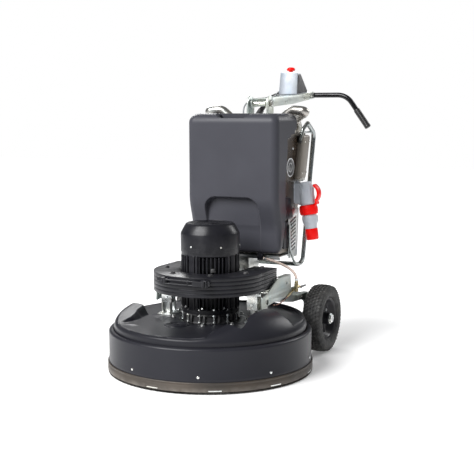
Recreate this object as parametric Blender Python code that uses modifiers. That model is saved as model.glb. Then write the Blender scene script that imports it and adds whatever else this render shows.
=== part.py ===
"""Walk-behind planetary concrete grinder, 800 mm class. Metres, +Z up, the head points along -Y."""

import math

import bmesh
import bpy
from mathutils import Euler, Vector

# --- driving dimensions -------------------------------------------------------------------------
GAP = 0.0003
BAND_R = 0.427
SKIRT_R = 0.4215
SKIRT_TOP = 0.176
HOOD_R = 0.400
HOOD_STEP = 0.194
HOOD_WALL = 0.004
RECESS_Z = 0.208
PLATE_Z = 0.150
MOTOR_R = 0.121
MOTOR_BASE = 0.245
COVER_Z = 0.494
MOTOR_TOP = 0.610
MODULE = 0.010
SUN_TEETH = 23
PLANET_TEETH = 25
RING_TEETH = 73
GEAR_Z = 0.122
GEAR_T = 0.020
DISC_R = 0.135
BALLAST_R = 0.235
BALLAST_BORE = 0.130
BALLAST_Z = 0.335
BALLAST_T = 0.0158
BALLAST_COUNT = 5
LATCH_X = 0.097
LATCH_Y = -0.250
LATCH_Z = 0.396
POST_X = 0.200
ARM_X = 0.245
ARM_T = 0.006
PIVOT_Y = 0.030
PIVOT_Z = 0.290
WHEEL_X = 0.315
WHEEL_R = 0.150
WHEEL_W = 0.088
AXLE_Y = 0.470
AXLE_Z = 0.150
TANK_X = 0.214
TANK_FRONT = 0.187
TANK_FOOT = 0.220
TANK_BROW = 0.419
ARCH_FLOOR = 0.219
TANK_BASE = 0.460
TANK_TOP = 1.055
LEAN = 0.265
CABINET_X = 0.192
CABINET_DEPTH = 0.160
CABINET_BASE = 0.455
CABINET_TOP = 0.970
SHEET = 0.003
CAGE_X = 0.215
CAGE_R = 0.010
BAR_R = 0.021
HINGE_Y = 0.490
HINGE_Z = 1.100
HANDLE_Y = 1.064
HANDLE_Z = 1.143
HANDLE_R = 0.0125
GRIP_R = 0.016
BAR_END = (0.315, HANDLE_Y, 0.990)
BAR_CORNER = (0.204, HANDLE_Y, HANDLE_Z)
HEAD_Y = -(HANDLE_Y + GRIP_R - BAND_R) / 2
PORT_AT = (-0.062, -0.177)
NECK_X = 0.120
NECK_Y = 0.345
WELL_Z = 1.039
POD_TOP_FRONT = (0.824, 1.240)
POD_TOP_REAR = (0.862, 1.244)
POD_LIP = (0.950, 1.164)
POD_SLOPE = math.atan2(POD_TOP_REAR[1] - POD_LIP[1], POD_LIP[0] - POD_TOP_REAR[0])
POD_FACE = Euler((-POD_SLOPE, 0, 0))
KNOB = [(0, 0.0006), (0.013, 0.0006), (0.014, 0.002), (0.012, 0.016), (0, 0.017)]
BUTTON = [(0, -0.008), (0.008, -0.008), (0.008, 0.004), (0.007, 0.005), (0, 0.005)]
VALVE = (0.262, 0.300, 0.315)
VALVE_LENGTH = 0.046
OUTLET_LOW = (0.106, 0.232, 0.4285)
OUTLET_HIGH = (0.128, 0.252, TANK_BASE + 0.002)
HOSE_R = 0.006
CABLE_R = 0.0035
HOSE_ROUTE = [
    (0.1300, 0.2425, 0.4366),
    (0.1360, 0.2443, 0.4354),
    (0.1428, 0.2481, 0.4338),
    (0.1565, 0.2541, 0.4297),
    (0.1703, 0.2601, 0.4252),
    (0.1841, 0.2661, 0.4202),
    (0.1960, 0.2713, 0.4148),
    (0.2070, 0.2761, 0.4092),
    (0.2162, 0.2800, 0.4040),
    (0.2253, 0.2840, 0.3982),
    (0.2336, 0.2876, 0.3925),
    (0.2405, 0.2906, 0.3866),
    (0.2472, 0.2936, 0.3800),
    (0.2552, 0.2970, 0.3690),
    (0.2603, 0.2992, 0.3560),
    (0.2620, 0.3000, 0.3450),
    (0.2620, 0.3000, VALVE[2] + VALVE_LENGTH / 2 + GAP),
]
CABLE_ROUTE = [
    (-0.085, 0.500, CABINET_TOP + GAP),
    (-0.088, 0.502, 1.030),
    (-0.092, 0.510, 1.072),
    (-0.090, 0.535, 1.100),
    (-0.082, 0.575, 1.111),
    (-0.074, 0.620, 1.109),
    (-0.068, 0.670, 1.106),
    (-0.065, 0.720, 1.109),
    (-0.065, 0.770, 1.118),
    (-0.068, 0.810, 1.133),
    (-0.072, 0.838, 1.147),
    (-0.071, 0.858, 1.156),
    (-0.064, 0.870, 1.1595),
    (-0.054, 0.874, 1.160),
    (-0.0446, 0.8745, 1.160),
]

SIDE_VIEW = Euler((math.pi / 2, 0, math.pi / 2))
ALONG_X = Euler((0, math.pi / 2, 0))
ALONG_Y = Euler((-math.pi / 2, 0, 0))
UPRIGHT = Euler((0, 0, 0))
SIDES = (("left", -1), ("right", 1))
PLANET_ANGLES = [math.radians(a) for a in (-90, 30, 150)]
PLANET_R = MODULE * (SUN_TEETH + PLANET_TEETH) / 2

for old in list(bpy.data.objects):
    bpy.data.objects.remove(old, do_unlink=True)
PARTS = bpy.data.collections.new("concrete_grinder")
CUTTERS = bpy.data.collections.new("cutters")
bpy.context.scene.collection.children.link(PARTS)
bpy.context.scene.collection.children.link(CUTTERS)


def material(name, colour, roughness, metallic=0.0):
    made = bpy.data.materials.new(name)
    made.use_nodes = True
    shader = made.node_tree.nodes["Principled BSDF"]
    shader.inputs["Base Color"].default_value = (*colour, 1)
    shader.inputs["Roughness"].default_value = roughness
    shader.inputs["Metallic"].default_value = metallic
    return made


BLACK = material("black_moulding", (0.02, 0.021, 0.023), 0.45)
BLACK_PAINT = material("black_paint", (0.015, 0.015, 0.016), 0.35, 0.2)
RUBBER = material("rubber", (0.02, 0.02, 0.02), 0.85)
ZINC = material("zinc", (0.62, 0.63, 0.62), 0.38, 0.9)
STEEL = material("steel", (0.45, 0.45, 0.46), 0.3, 1.0)
CASTING = material("cast_iron", (0.12, 0.12, 0.125), 0.6, 0.8)
HOUSING = material("grey_brown_paint", (0.17, 0.155, 0.14), 0.45, 0.3)
GREY = material("light_grey_plastic", (0.52, 0.55, 0.58), 0.45)
RED = material("red_plastic", (0.75, 0.02, 0.02), 0.35)
BRASS = material("brass", (0.62, 0.46, 0.2), 0.3, 1.0)
CLEAR = material("clear_hose", (0.75, 0.72, 0.68), 0.25)
CABLE = material("cable", (0.35, 0.36, 0.37), 0.6)


def at(x, y, z):
    """A point given from the head's axis on the floor."""
    return Vector((x, HEAD_Y + y, z))


# --- general shapes -----------------------------------------------------------------------------
def keep(obj, name, paint):
    obj.name = name
    obj.data.materials.clear()
    obj.data.materials.append(paint)
    for user in list(obj.users_collection):
        user.objects.unlink(obj)
    PARTS.objects.link(obj)
    return obj


def mesh_object(name, shape, place, turn, paint):
    mesh = bpy.data.meshes.new(name)
    bmesh.ops.recalc_face_normals(shape, faces=shape.faces)
    shape.to_mesh(mesh)
    shape.free()
    obj = bpy.data.objects.new(name, mesh)
    bpy.context.scene.collection.objects.link(obj)
    obj.location = place
    obj.rotation_euler = turn
    return keep(obj, name, paint)


def box(name, low, high, paint, round_by=0.0):
    """A box between two corners given from the head's axis."""
    shape = bmesh.new()
    bmesh.ops.create_cube(shape, size=1)
    size = [b - a for a, b in zip(low, high)]
    bmesh.ops.scale(shape, vec=size, verts=shape.verts)
    centre = at(*[(a + b) / 2 for a, b in zip(low, high)])
    obj = mesh_object(name, shape, centre, UPRIGHT, paint)
    if round_by:
        soften(obj, round_by)
    return obj


def rod(name, radius, length, centre, turn, paint, sides=24, top=None):
    shape = bmesh.new()
    end = radius if top is None else top
    bmesh.ops.create_cone(
        shape, cap_ends=True, segments=sides, radius1=radius, radius2=end, depth=length
    )
    return mesh_object(name, shape, centre, turn, paint)


def soften(obj, width, steps=2, angle=40):
    rounding = obj.modifiers.new("rounding", "BEVEL")
    rounding.width = width
    rounding.segments = steps
    rounding.limit_method = "ANGLE"
    rounding.angle_limit = math.radians(angle)
    return obj


def turned(name, profile, centre, turn, paint, steps=48):
    """Turns a closed (radius, height) profile about its own Z axis."""
    mesh = bpy.data.meshes.new(name)
    count = len(profile)
    area = sum(
        profile[i][0] * profile[(i + 1) % count][1] - profile[(i + 1) % count][0] * profile[i][1]
        for i in range(count)
    )
    ring = profile if area < 0 else profile[::-1]
    edges = [(i, (i + 1) % count) for i in range(count)]
    on_axis = [e for e in edges if max(ring[e[0]][0], ring[e[1]][0]) > 1e-7]
    mesh.from_pydata([(r, 0, z) for r, z in ring], on_axis, [])
    obj = bpy.data.objects.new(name, mesh)
    bpy.context.scene.collection.objects.link(obj)
    obj.location = centre
    obj.rotation_euler = turn
    screw = obj.modifiers.new("turning", "SCREW")
    screw.steps = steps
    screw.render_steps = steps
    screw.use_merge_vertices = True
    screw.merge_threshold = 0.00001
    return keep(settled(obj), name, paint)


def settled(obj):
    """The object with its modifiers or curve turned into a plain closed mesh."""
    bpy.context.view_layer.update()
    graph = bpy.context.evaluated_depsgraph_get()
    evaluated = obj.evaluated_get(graph)
    mesh = bpy.data.meshes.new_from_object(evaluated)
    shape = bmesh.new()
    shape.from_mesh(mesh)
    bmesh.ops.remove_doubles(shape, verts=shape.verts, dist=0.00001)
    bmesh.ops.recalc_face_normals(shape, faces=shape.faces)
    shape.to_mesh(mesh)
    shape.free()
    made = bpy.data.objects.new(obj.name, mesh)
    made.matrix_world = obj.matrix_world.copy()
    bpy.context.scene.collection.objects.link(made)
    bpy.data.objects.remove(obj, do_unlink=True)
    return made


def outline_curve(name, outlines):
    curve = bpy.data.curves.new(name, "CURVE")
    curve.dimensions = "2D"
    curve.fill_mode = "BOTH"
    for points in outlines:
        spline = curve.splines.new("POLY")
        spline.points.add(len(points) - 1)
        for point, (x, y) in zip(spline.points, points):
            point.co = (x, y, 0, 1)
        spline.use_cyclic_u = True
    return curve


def plate(name, outlines, thickness, centre, turn, paint):
    """Flat outlines with holes, extruded to a thickness about their plane."""
    curve = outline_curve(name, outlines)
    curve.extrude = thickness / 2
    obj = bpy.data.objects.new(name, curve)
    bpy.context.scene.collection.objects.link(obj)
    obj.location = centre
    obj.rotation_euler = turn
    return keep(settled(obj), name, paint)


def side_plate(name, outlines, x, thickness, paint):
    """A plate in the Y-Z plane, its outlines given as (y, z) from the head's axis."""
    return plate(name, outlines, thickness, at(x, 0, 0), SIDE_VIEW, paint)


def tube(name, points, radius, paint, sides=3):
    """A round bar through points given from the head's axis."""
    curve = bpy.data.curves.new(name, "CURVE")
    curve.dimensions = "3D"
    curve.bevel_depth = radius
    curve.bevel_resolution = sides
    curve.use_fill_caps = True
    spline = curve.splines.new("POLY")
    spline.points.add(len(points) - 1)
    for point, place in zip(spline.points, points):
        point.co = (*at(*place), 1)
    obj = bpy.data.objects.new(name, curve)
    bpy.context.scene.collection.objects.link(obj)
    return keep(settled(obj), name, paint)


def change(obj, tool, how):
    """Cuts, joins or trims an object with another one, which is hidden."""
    edit = obj.modifiers.new(how.lower(), "BOOLEAN")
    edit.operation = how
    edit.object = tool
    edit.solver = "EXACT"
    for user in list(tool.users_collection):
        user.objects.unlink(tool)
    CUTTERS.objects.link(tool)
    tool.hide_render = True
    tool.display_type = "WIRE"
    return obj


def cut(obj, *tools):
    for tool in tools:
        change(obj, tool, "DIFFERENCE")
    return obj


def join(obj, *tools):
    for tool in tools:
        change(obj, tool, "UNION")
    return obj


def arc(cx, cy, radius, start, end, steps):
    turns = [math.radians(start + (end - start) * i / steps) for i in range(steps + 1)]
    return [(cx + radius * math.cos(a), cy + radius * math.sin(a)) for a in turns]


def circle(radius, steps=24, cx=0.0, cy=0.0):
    return arc(cx, cy, radius, 0, 360, steps)[:-1]


def bent(points, radius, steps=4):
    """The points of a bar bent to a radius at each inner corner."""
    corners = [Vector(p) for p in points]
    path = [corners[0]]
    for before, corner, after in zip(corners, corners[1:], corners[2:]):
        one = (before - corner).normalized()
        two = (after - corner).normalized()
        half = one.angle(two) / 2
        shorter = min((before - corner).length, (after - corner).length)
        reach = min(radius / math.tan(half), shorter * 0.49)
        start = corner + one * reach
        end = corner + two * reach
        for i in range(steps + 1):
            t = i / steps
            path.append(start * (1 - t) ** 2 + corner * 2 * t * (1 - t) + end * t**2)
    path.append(corners[-1])
    return path


def smooth(points, spacing):
    """Points spaced along a Catmull-Rom curve through the given ones."""
    knots = [Vector(p) for p in points]
    knots = [knots[0] * 2 - knots[1]] + knots + [knots[-1] * 2 - knots[-2]]
    path = [knots[1]]
    for a, b, c, d in zip(knots, knots[1:], knots[2:], knots[3:]):
        count = max(2, round((c - b).length / spacing))
        for i in range(1, count + 1):
            t = i / count
            curved = (2 * a - 5 * b + 4 * c - d) * t**2 + (3 * b - a - 3 * c + d) * t**3
            path.append((2 * b + (c - a) * t + curved) / 2)
    return path


def gear_outline(teeth, tip, root):
    points = []
    for i in range(teeth):
        for part, radius in ((0.0, root), (0.5, tip)):
            angle = math.tau * (i + part) / teeth
            points.append((radius * math.cos(angle), radius * math.sin(angle)))
    return points


# --- head ---------------------------------------------------------------------------------------
def recess_outline(grow):
    """Plan of the hood's sunken middle, wide at the posts and open to the front and rear."""
    half = [
        (0.100, -0.46),
        (0.100, -0.365),
        (0.205, -0.215),
        (0.256, -0.110),
        (0.264, -0.030),
        (0.264, 0.46),
    ]
    right = [(x + grow, y) for x, y in half]
    left = [(-x, y) for x, y in reversed(right)]
    return right + left


def hood_body(name, inset, base):
    """The hood's dome, drawn in by an inset, without its sunken middle and above its two front slopes."""
    edge = HOOD_R - inset
    profile = [
        (0, base),
        (edge, base),
        (edge, HOOD_STEP - inset),
        (edge - 0.003, 0.203 - inset),
        (edge - 0.008, 0.213 - inset),
        (edge - 0.018, 0.227 - inset),
        (edge - 0.040, 0.248 - inset),
        (edge - 0.070, 0.267 - inset),
        (edge - 0.110, 0.279 - inset),
        (0, 0.286 - inset),
    ]
    dome = turned(name, profile, at(0, 0, 0), UPRIGHT, BLACK, 56)
    height = 0.2
    floor = RECESS_Z - inset
    recess = plate(
        name + "_recess", [recess_outline(inset)], height, at(0, 0, floor + height / 2), UPRIGHT, BLACK
    )
    cut(dome, recess)
    for x, start, end, rise in ((0.225, -0.37, -0.09, 0.085), (-0.225, -0.27, 0.20, 0.090)):
        ramp = [(-0.50, floor + 0.001), (start, floor + 0.001), (end, floor + rise), (end, 0.40), (-0.50, 0.40)]
        cut(dome, side_plate(f"{name}_ramp_{x}", [ramp], x, 0.45, BLACK))
    return dome


def build_hood():
    hood = hood_body("hood", 0.0, 0.050)
    inner = hood_body("hood_inside", HOOD_WALL, 0.030)
    motor_hole = rod("motor_hole", 0.121, 0.2, at(0, 0, 0.2), UPRIGHT, BLACK, 36)
    port_hole = rod("port_hole", 0.0385, 0.2, at(*PORT_AT, 0.2), UPRIGHT, BLACK, 24)
    cut(hood, inner, motor_hole, port_hole)
    cap_profile = [(0, 0.196), (0.0372, 0.196), (0.0372, 0.2105), (0.0355, 0.212), (0.029, 0.212)]
    cap_profile += [(0.027, 0.209), (0.012, 0.209), (0.010, 0.212), (0, 0.212)]
    turned("hood_port_cap", cap_profile, at(*PORT_AT, 0), UPRIGHT, BLACK, 20)


def build_head_plate():
    """Cast plate over the gears, with the neck that carries the motor."""
    profile = [
        (0.032, PLATE_Z),
        (0.376, PLATE_Z),
        (0.376, 0.162),
        (0.125, 0.165),
        (0.116, 0.172),
        (0.112, 0.236),
        (0.118, 0.238),
        (0.118, MOTOR_BASE - GAP),
        (0.100, MOTOR_BASE - GAP),
        (0.100, 0.172),
        (0.032, 0.172),
    ]
    turned("head_plate", profile, at(0, 0, 0), UPRIGHT, CASTING, 32)


def build_motor():
    fins = 28
    outer = []
    for i in range(fins):
        for part, radius in ((0.0, 0.109), (0.18, MOTOR_R), (0.38, MOTOR_R), (0.56, 0.109)):
            angle = math.tau * (i + part) / fins
            outer.append((radius * math.cos(angle), radius * math.sin(angle)))
    height = COVER_Z - GAP - MOTOR_BASE
    place = at(0, 0, MOTOR_BASE + height / 2)
    plate("motor_housing", [outer, circle(0.095, 28)], height, place, UPRIGHT, BLACK_PAINT)
    wall = 0.0025
    cover = [
        (MOTOR_R + 0.001, COVER_Z),
        (MOTOR_R + 0.001, 0.568),
        (0.118, 0.574),
        (0.101, 0.606),
        (0.096, MOTOR_TOP),
        (0, MOTOR_TOP),
        (0, MOTOR_TOP - wall),
        (0.095, MOTOR_TOP - wall),
        (0.115, 0.573),
        (MOTOR_R + 0.001 - wall, 0.567),
        (MOTOR_R + 0.001 - wall, COVER_Z),
    ]
    turned("motor_fan_cover", cover, at(0, 0, 0), UPRIGHT, BLACK_PAINT, 32)


def build_rotor():
    shaft = rod("rotor_shaft", 0.019, 0.440, at(0, 0, 0.340), UPRIGHT, STEEL)
    core = rod("rotor_core", 0.062, 0.150, at(0, 0, 0.365), UPRIGHT, STEEL, 16)
    teeth = gear_outline(SUN_TEETH, MODULE * SUN_TEETH / 2 + 0.0005, MODULE * SUN_TEETH / 2 - 0.004)
    sun = plate("sun_teeth", [teeth], GEAR_T, at(0, 0, GEAR_Z + GEAR_T / 2), UPRIGHT, STEEL)
    join(shaft, core, sun)
    blades = []
    for i in range(8):
        for part, radius in ((0.0, 0.030), (0.15, 0.085), (0.30, 0.085), (0.45, 0.030)):
            angle = math.tau * (i + part) / 8
            blades.append((radius * math.cos(angle), radius * math.sin(angle)))
    hole = circle(0.019 + GAP, 24)
    plate("cooling_fan", [blades, hole], 0.028, at(0, 0, 0.535), UPRIGHT, BLACK)


def build_gears():
    ring_root = circle(0.376, 48)
    pitch = MODULE * RING_TEETH / 2
    ring_teeth = gear_outline(RING_TEETH, pitch - 0.0005, pitch + 0.004)
    height = PLATE_Z - GAP - 0.118
    place = at(0, 0, PLATE_Z - GAP - height / 2)
    plate("ring_gear", [ring_root, ring_teeth], height, place, UPRIGHT, STEEL)
    carrier = [
        (0.024, 0.072),
        (0.355, 0.072),
        (0.362, 0.076),
        (0.362, 0.108),
        (0.356, 0.112),
        (0.024, 0.112),
    ]
    turned("planet_carrier", carrier, at(0, 0, 0), UPRIGHT, CASTING, 32)
    body = bpy.data.objects["planet_carrier"]
    for i, angle in enumerate(PLANET_ANGLES, 1):
        x = PLANET_R * math.cos(angle)
        y = PLANET_R * math.sin(angle)
        cut(body, rod(f"carrier_bore_{i}", 0.0235, 0.1, at(x, y, 0.09), UPRIGHT, STEEL, 20))
        build_planet(i, x, y)


def build_planet(i, x, y):
    holder = [
        (0, 0.031),
        (0.120, 0.031),
        (0.120, 0.043),
        (0.060, 0.046),
        (0.036, 0.064),
        (0.023, 0.066),
        (0.023, 0.144),
        (0, 0.144),
    ]
    spindle = turned(f"disc_spindle_{i}", holder, at(x, y, 0), UPRIGHT, STEEL, 20)
    pitch = MODULE * PLANET_TEETH / 2
    teeth = gear_outline(PLANET_TEETH, pitch - 0.001, pitch - 0.0055)
    gear = plate(f"planet_teeth_{i}", [teeth], GEAR_T, at(x, y, GEAR_Z + GEAR_T / 2), UPRIGHT, STEEL)
    join(spindle, gear)
    disc = turned(
        f"grinding_disc_{i}",
        [(0.030, 0.012), (DISC_R, 0.012), (DISC_R, 0.0307), (0.030, 0.0307)],
        at(x, y, 0),
        UPRIGHT,
        CASTING,
        28,
    )
    for k in range(6):
        turn = math.tau * k / 6
        middle = at(x + 0.112 * math.cos(turn), y + 0.112 * math.sin(turn), 0.0065)
        shape = bmesh.new()
        bmesh.ops.create_cube(shape, size=1)
        bmesh.ops.scale(shape, vec=(0.026, 0.044, 0.013), verts=shape.verts)
        tool = mesh_object(f"segment_{i}_{k}", shape, middle, Euler((0, 0, turn)), STEEL)
        join(disc, tool)


def build_skirt():
    wall = 0.004
    shell = [
        (SKIRT_R, 0.012),
        (SKIRT_R, SKIRT_TOP - 0.012),
        (SKIRT_R - 0.003, SKIRT_TOP - 0.003),
        (SKIRT_R - 0.012, SKIRT_TOP),
        (0.4035, SKIRT_TOP),
        (0.4035, SKIRT_TOP - wall),
        (SKIRT_R - wall, SKIRT_TOP - wall),
        (SKIRT_R - wall, 0.012),
    ]
    turned("skirt_shell", shell, at(0, 0, 0), UPRIGHT, BLACK, 56)
    band = [
        (SKIRT_R + GAP, 0.046),
        (BAND_R, 0.046),
        (BAND_R, 0.003),
        (BAND_R - 0.003, 0.0),
        (BAND_R - 0.011, 0.0),
        (BAND_R - 0.011, 0.012 - GAP),
        (SKIRT_R + GAP, 0.012 - GAP),
    ]
    turned("skirt_band", band, at(0, 0, 0), UPRIGHT, RUBBER, 56)


def ballast_outline():
    end = 0.150
    outer = arc(0, 0, BALLAST_R, 180, 360, 28) + [(BALLAST_R, end)]
    inner = [(BALLAST_BORE, end)] + arc(0, 0, BALLAST_BORE, 360, 180, 20)
    return [outer + inner + [(-BALLAST_BORE, end), (-BALLAST_R, end)]]


def build_ballast():
    pitch = BALLAST_T + GAP
    for i in range(BALLAST_COUNT):
        middle = at(0, 0, BALLAST_Z + pitch * i + BALLAST_T / 2)
        name = f"ballast_plate_{i + 1}"
        layer = plate(name, ballast_outline(), BALLAST_T, middle, UPRIGHT, BLACK_PAINT)
        if i == 0:
            for side, sign in SIDES:
                join(layer, sleeve(side, sign))
        if i == 3:
            for x in (LATCH_X, -LATCH_X + 0.008):
                join(layer, latch_base(x))
    lever = [(-0.078, -0.011), (LATCH_X, -0.011), (LATCH_X, 0.011), (-0.078, 0.011)]
    slot = [(-0.064, -0.0035), (0.080, -0.0035), (0.080, 0.0035), (-0.064, 0.0035)]
    turn = Euler((math.pi / 2, 0, 0))
    bars = plate("latch_lever", [lever, slot], 0.006, at(0, LATCH_Y, LATCH_Z), turn, BLACK_PAINT)
    join(bars, rod("latch_barrel", 0.0055, 0.026, at(LATCH_X, LATCH_Y, LATCH_Z), UPRIGHT, BLACK_PAINT, 16))


def latch_base(x):
    """A block on the front of the ballast, welded to the fourth plate."""
    low = LATCH_Z - 0.014
    name = f"latch_block_{x:.2f}"
    block = box(name, (x - 0.010, -0.244, low), (x + 0.010, -0.2215, low + 0.028), BLACK_PAINT)
    stub = box(name + "_stub", (x - 0.007, -0.226, 0.385), (x + 0.007, -0.200, 0.3975), BLACK_PAINT)
    return join(block, stub)


def sleeve(side, sign):
    """A zinc U-channel that hangs from the ballast around its post."""
    outline = [(-0.023, -0.019), (0.023, -0.019), (0.023, 0.019), (0.019, 0.019)]
    outline += [(0.019, -0.015), (-0.019, -0.015), (-0.019, 0.019), (-0.023, 0.019)]
    height = 0.076
    middle = at(sign * POST_X, 0, BALLAST_Z + 0.002 - height / 2)
    return plate("sleeve_" + side, [outline], height, middle, UPRIGHT, ZINC)


def build_posts():
    for side, sign in SIDES:
        x = sign * POST_X
        inner, outer = sorted((sign * 0.170, sign * 0.238))
        low, high = RECESS_Z + GAP, RECESS_Z + 0.006
        foot = box("post_" + side, (inner, -0.035, low), (outer, 0.075, high), ZINC)
        bar = box("post_bar_" + side, (x - 0.012, -0.010, low + 0.003), (x + 0.012, 0.010, 0.329), ZINC)
        lug = [(0.0, 0.210), (0.0, 0.285)] + arc(PIVOT_Y, PIVOT_Z, 0.026, 180, 0, 8) + [(0.056, 0.210)]
        ear = side_plate("lug_" + side, [lug], sign * 0.233, 0.007, ZINC)
        pin = rod("pin_" + side, 0.009, 0.0265, at(sign * 0.24425, PIVOT_Y, PIVOT_Z), ALONG_X, ZINC, 20)
        head = rod("head_" + side, 0.015, 0.008, at(sign * 0.2525, PIVOT_Y, PIVOT_Z), ALONG_X, ZINC, 6)
        join(foot, bar, ear, join(pin, head))


# --- chassis ------------------------------------------------------------------------------------
def tank_back(z):
    return 0.262 + LEAN * (z - TANK_BASE)


def build_side_arms():
    outline = [
        (PIVOT_Y - 0.055, 0.268),
        (PIVOT_Y - 0.055, 0.318),
        (0.030, 0.326),
        (0.130, 0.372),
        (0.272, 0.372),
        (0.276, 0.312),
        (0.322, 0.312),
        (0.330, 0.272),
        (0.430, 0.272),
        (0.505, 0.250),
        (0.505, 0.122),
        (0.435, 0.122),
        (0.430, 0.225),
        (0.400, 0.240),
        (0.300, 0.245),
        (0.100, 0.280),
    ]
    for side, sign in SIDES:
        bore = circle(0.0125 + GAP, 24, AXLE_Y, AXLE_Z)
        hole = circle(0.0098, 24, PIVOT_Y, PIVOT_Z)
        side_plate("side_arm_" + side, [outline, bore, hole], sign * ARM_X, ARM_T, ZINC)


def build_frame():
    inside = ARM_X - ARM_T / 2 - GAP
    base = box("chassis_frame", (-0.200, 0.264, 0.440), (0.200, 0.440, 0.446), ZINC)
    column = box("column", (-0.035, 0.300, 0.255), (0.035, 0.400, 0.442), ZINC)
    beam = box("beam", (-inside, 0.330, 0.243), (inside, 0.420, 0.270), ZINC, 0.004)
    join(base, column, beam)
    rod("axle", 0.0125, 2 * (WHEEL_X + WHEEL_W / 2 + 0.006), at(0, AXLE_Y, AXLE_Z), ALONG_X, STEEL)


def build_wheels():
    for side, sign in SIDES:
        turn = Euler((0, sign * math.pi / 2, 0))
        hub_face = WHEEL_W / 2 - 0.004
        tread = [
            (0.092, -0.030),
            (0.112, -0.043),
            (0.128, -0.044),
            (0.143, -0.036),
            (WHEEL_R, -0.016),
            (WHEEL_R, 0.016),
            (0.143, 0.036),
            (0.128, 0.044),
            (0.112, 0.043),
            (0.092, 0.030),
        ]
        turned("tyre_" + side, tread, at(sign * WHEEL_X, AXLE_Y, AXLE_Z), turn, RUBBER, 36)
        rim = [
            (0.0128, -hub_face),
            (0.026, -hub_face),
            (0.030, -0.006),
            (0.072, -0.006),
            (0.084, -0.032),
            (0.0915, -0.032),
            (0.0915, 0.032),
            (0.084, 0.032),
            (0.072, 0.006),
            (0.030, 0.006),
            (0.026, hub_face),
            (0.0128, hub_face),
        ]
        turned("rim_" + side, rim, at(sign * WHEEL_X, AXLE_Y, AXLE_Z), turn, BLACK_PAINT, 24)


def tank_profile(inset):
    """Side outline of the tank as (y, z): bellied front, leaning back, brow over the cabinet."""
    front = TANK_FRONT + inset
    low = TANK_BASE + inset
    high = TANK_TOP - inset
    radius = 0.042 - inset
    top_front = arc(front + radius, high - radius, radius, 180, 90, 5)
    foot = TANK_FOOT + inset
    corner = 0.014
    bottom_front = arc(foot + corner, low + corner, corner, 270, 180, 3)
    belly = [(foot, 0.548), (foot - 0.010, 0.585), (front + 0.004, 0.655), (front, 0.695)]
    back = inset * 1.03
    brow = [(TANK_BROW - inset, high), (TANK_BROW - inset, 0.993 + inset), (tank_back(0.979) - back, 0.979)]
    return [(tank_back(low) - back, low)] + bottom_front + belly + top_front + brow


def tank_solid(name, inset):
    width = 2 * (TANK_X - inset)
    solid = side_plate(name, [tank_profile(inset)], 0, width, BLACK)
    soften(solid, 0.016 - inset / 2, 3)
    arch_x = 0.130 + inset
    top = 0.700 + inset
    low = TANK_BASE - 0.05
    arch = [(arch_x, low)] + arc(arch_x - 0.05, top - 0.05, 0.05, 0, 90, 4)
    arch += arc(0.05 - arch_x, top - 0.05, 0.05, 90, 180, 4) + [(-arch_x, low)]
    depth = ARCH_FLOOR + inset - 0.15
    middle = at(0, 0.15 + depth / 2, 0)
    recess = plate(name + "_arch", [arch], depth, middle, Euler((math.pi / 2, 0, 0)), BLACK)
    notch_low = (-0.078 - inset, 0.15, 1.022 - inset)
    notch_high = (0.078 + inset, 0.262 + inset, 1.08)
    notch = box(name + "_notch", notch_low, notch_high, BLACK)
    half = 0.045 + inset
    well_low = (NECK_X - half, NECK_Y - half, WELL_Z - inset)
    well_high = (NECK_X + half, NECK_Y + half, 1.08)
    return cut(solid, recess, notch, box(name + "_well", well_low, well_high, BLACK))


def build_tank():
    tank = tank_solid("water_tank", 0.0)
    inside = tank_solid("tank_inside", 0.004)
    neck = at(NECK_X, NECK_Y, WELL_Z)
    hole = rod("neck_hole", 0.026, 0.03, neck, UPRIGHT, BLACK, 28)
    cut(tank, inside, hole)
    join(tank, box("tank_outlet", OUTLET_LOW, OUTLET_HIGH, BLACK, 0.003))
    cap = [(0, 0.0006), (0.024, -0.012), (0.0255, -0.0115), (0.0255, 0.0005), (0.033, 0.0005)]
    cap += [(0.034, 0.002), (0.034, 0.013), (0.032, 0.015), (0, 0.015)]
    turned("tank_cap", cap, neck, UPRIGHT, BLACK, 20)


def cabinet_outline(grow, low, high, depth, start=0.003):
    front_low = tank_back(low) + start
    front_high = tank_back(high) + start
    return [
        (front_low - grow, low),
        (front_low + depth + grow, low),
        (front_high + depth + grow, high),
        (front_high - grow, high),
    ]


def build_cabinet():
    outer = side_plate(
        "cabinet",
        [cabinet_outline(0, CABINET_BASE, CABINET_TOP, CABINET_DEPTH)],
        0,
        2 * CABINET_X,
        HOUSING,
    )
    hollow = side_plate(
        "cabinet_hollow",
        [cabinet_outline(0, CABINET_BASE + SHEET, CABINET_TOP - SHEET, CABINET_DEPTH, SHEET * 2)],
        0,
        2 * (CABINET_X - SHEET),
        HOUSING,
    )
    cut(outer, hollow)
    start = 0.003 + CABINET_DEPTH + GAP
    lid = [cabinet_outline(0, CABINET_BASE, CABINET_TOP, 0.004, start)]
    side_plate("cabinet_cover", lid, 0, 2 * CABINET_X, HOUSING)
    side_plate("inverter", [cabinet_outline(0, 0.62, 0.86, 0.10, 0.020)], -0.02, 0.22, GREY)
    outline = cabinet_outline(0, 0.765, 0.960, 0.085, 0.072)
    housing = side_plate("side_housing", [outline], CABINET_X + GAP + 0.015, 0.030, HOUSING)
    soften(housing, 0.012, 3)
    knob_z = 0.80
    knob_y = tank_back(knob_z) + 0.003 + CABINET_DEPTH + 0.004 + GAP
    lean = math.atan(LEAN)
    switch = [(0, 0.001), (0.026, 0.001), (0.027, 0.003), (0.027, 0.008)]
    switch += [(0.016, 0.010), (0.014, 0.028), (0, 0.028)]
    turn = Euler((-math.pi / 2 - lean, 0, 0))
    turned("main_switch", switch, at(-0.10, knob_y, knob_z), turn, RED, 24)


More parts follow.
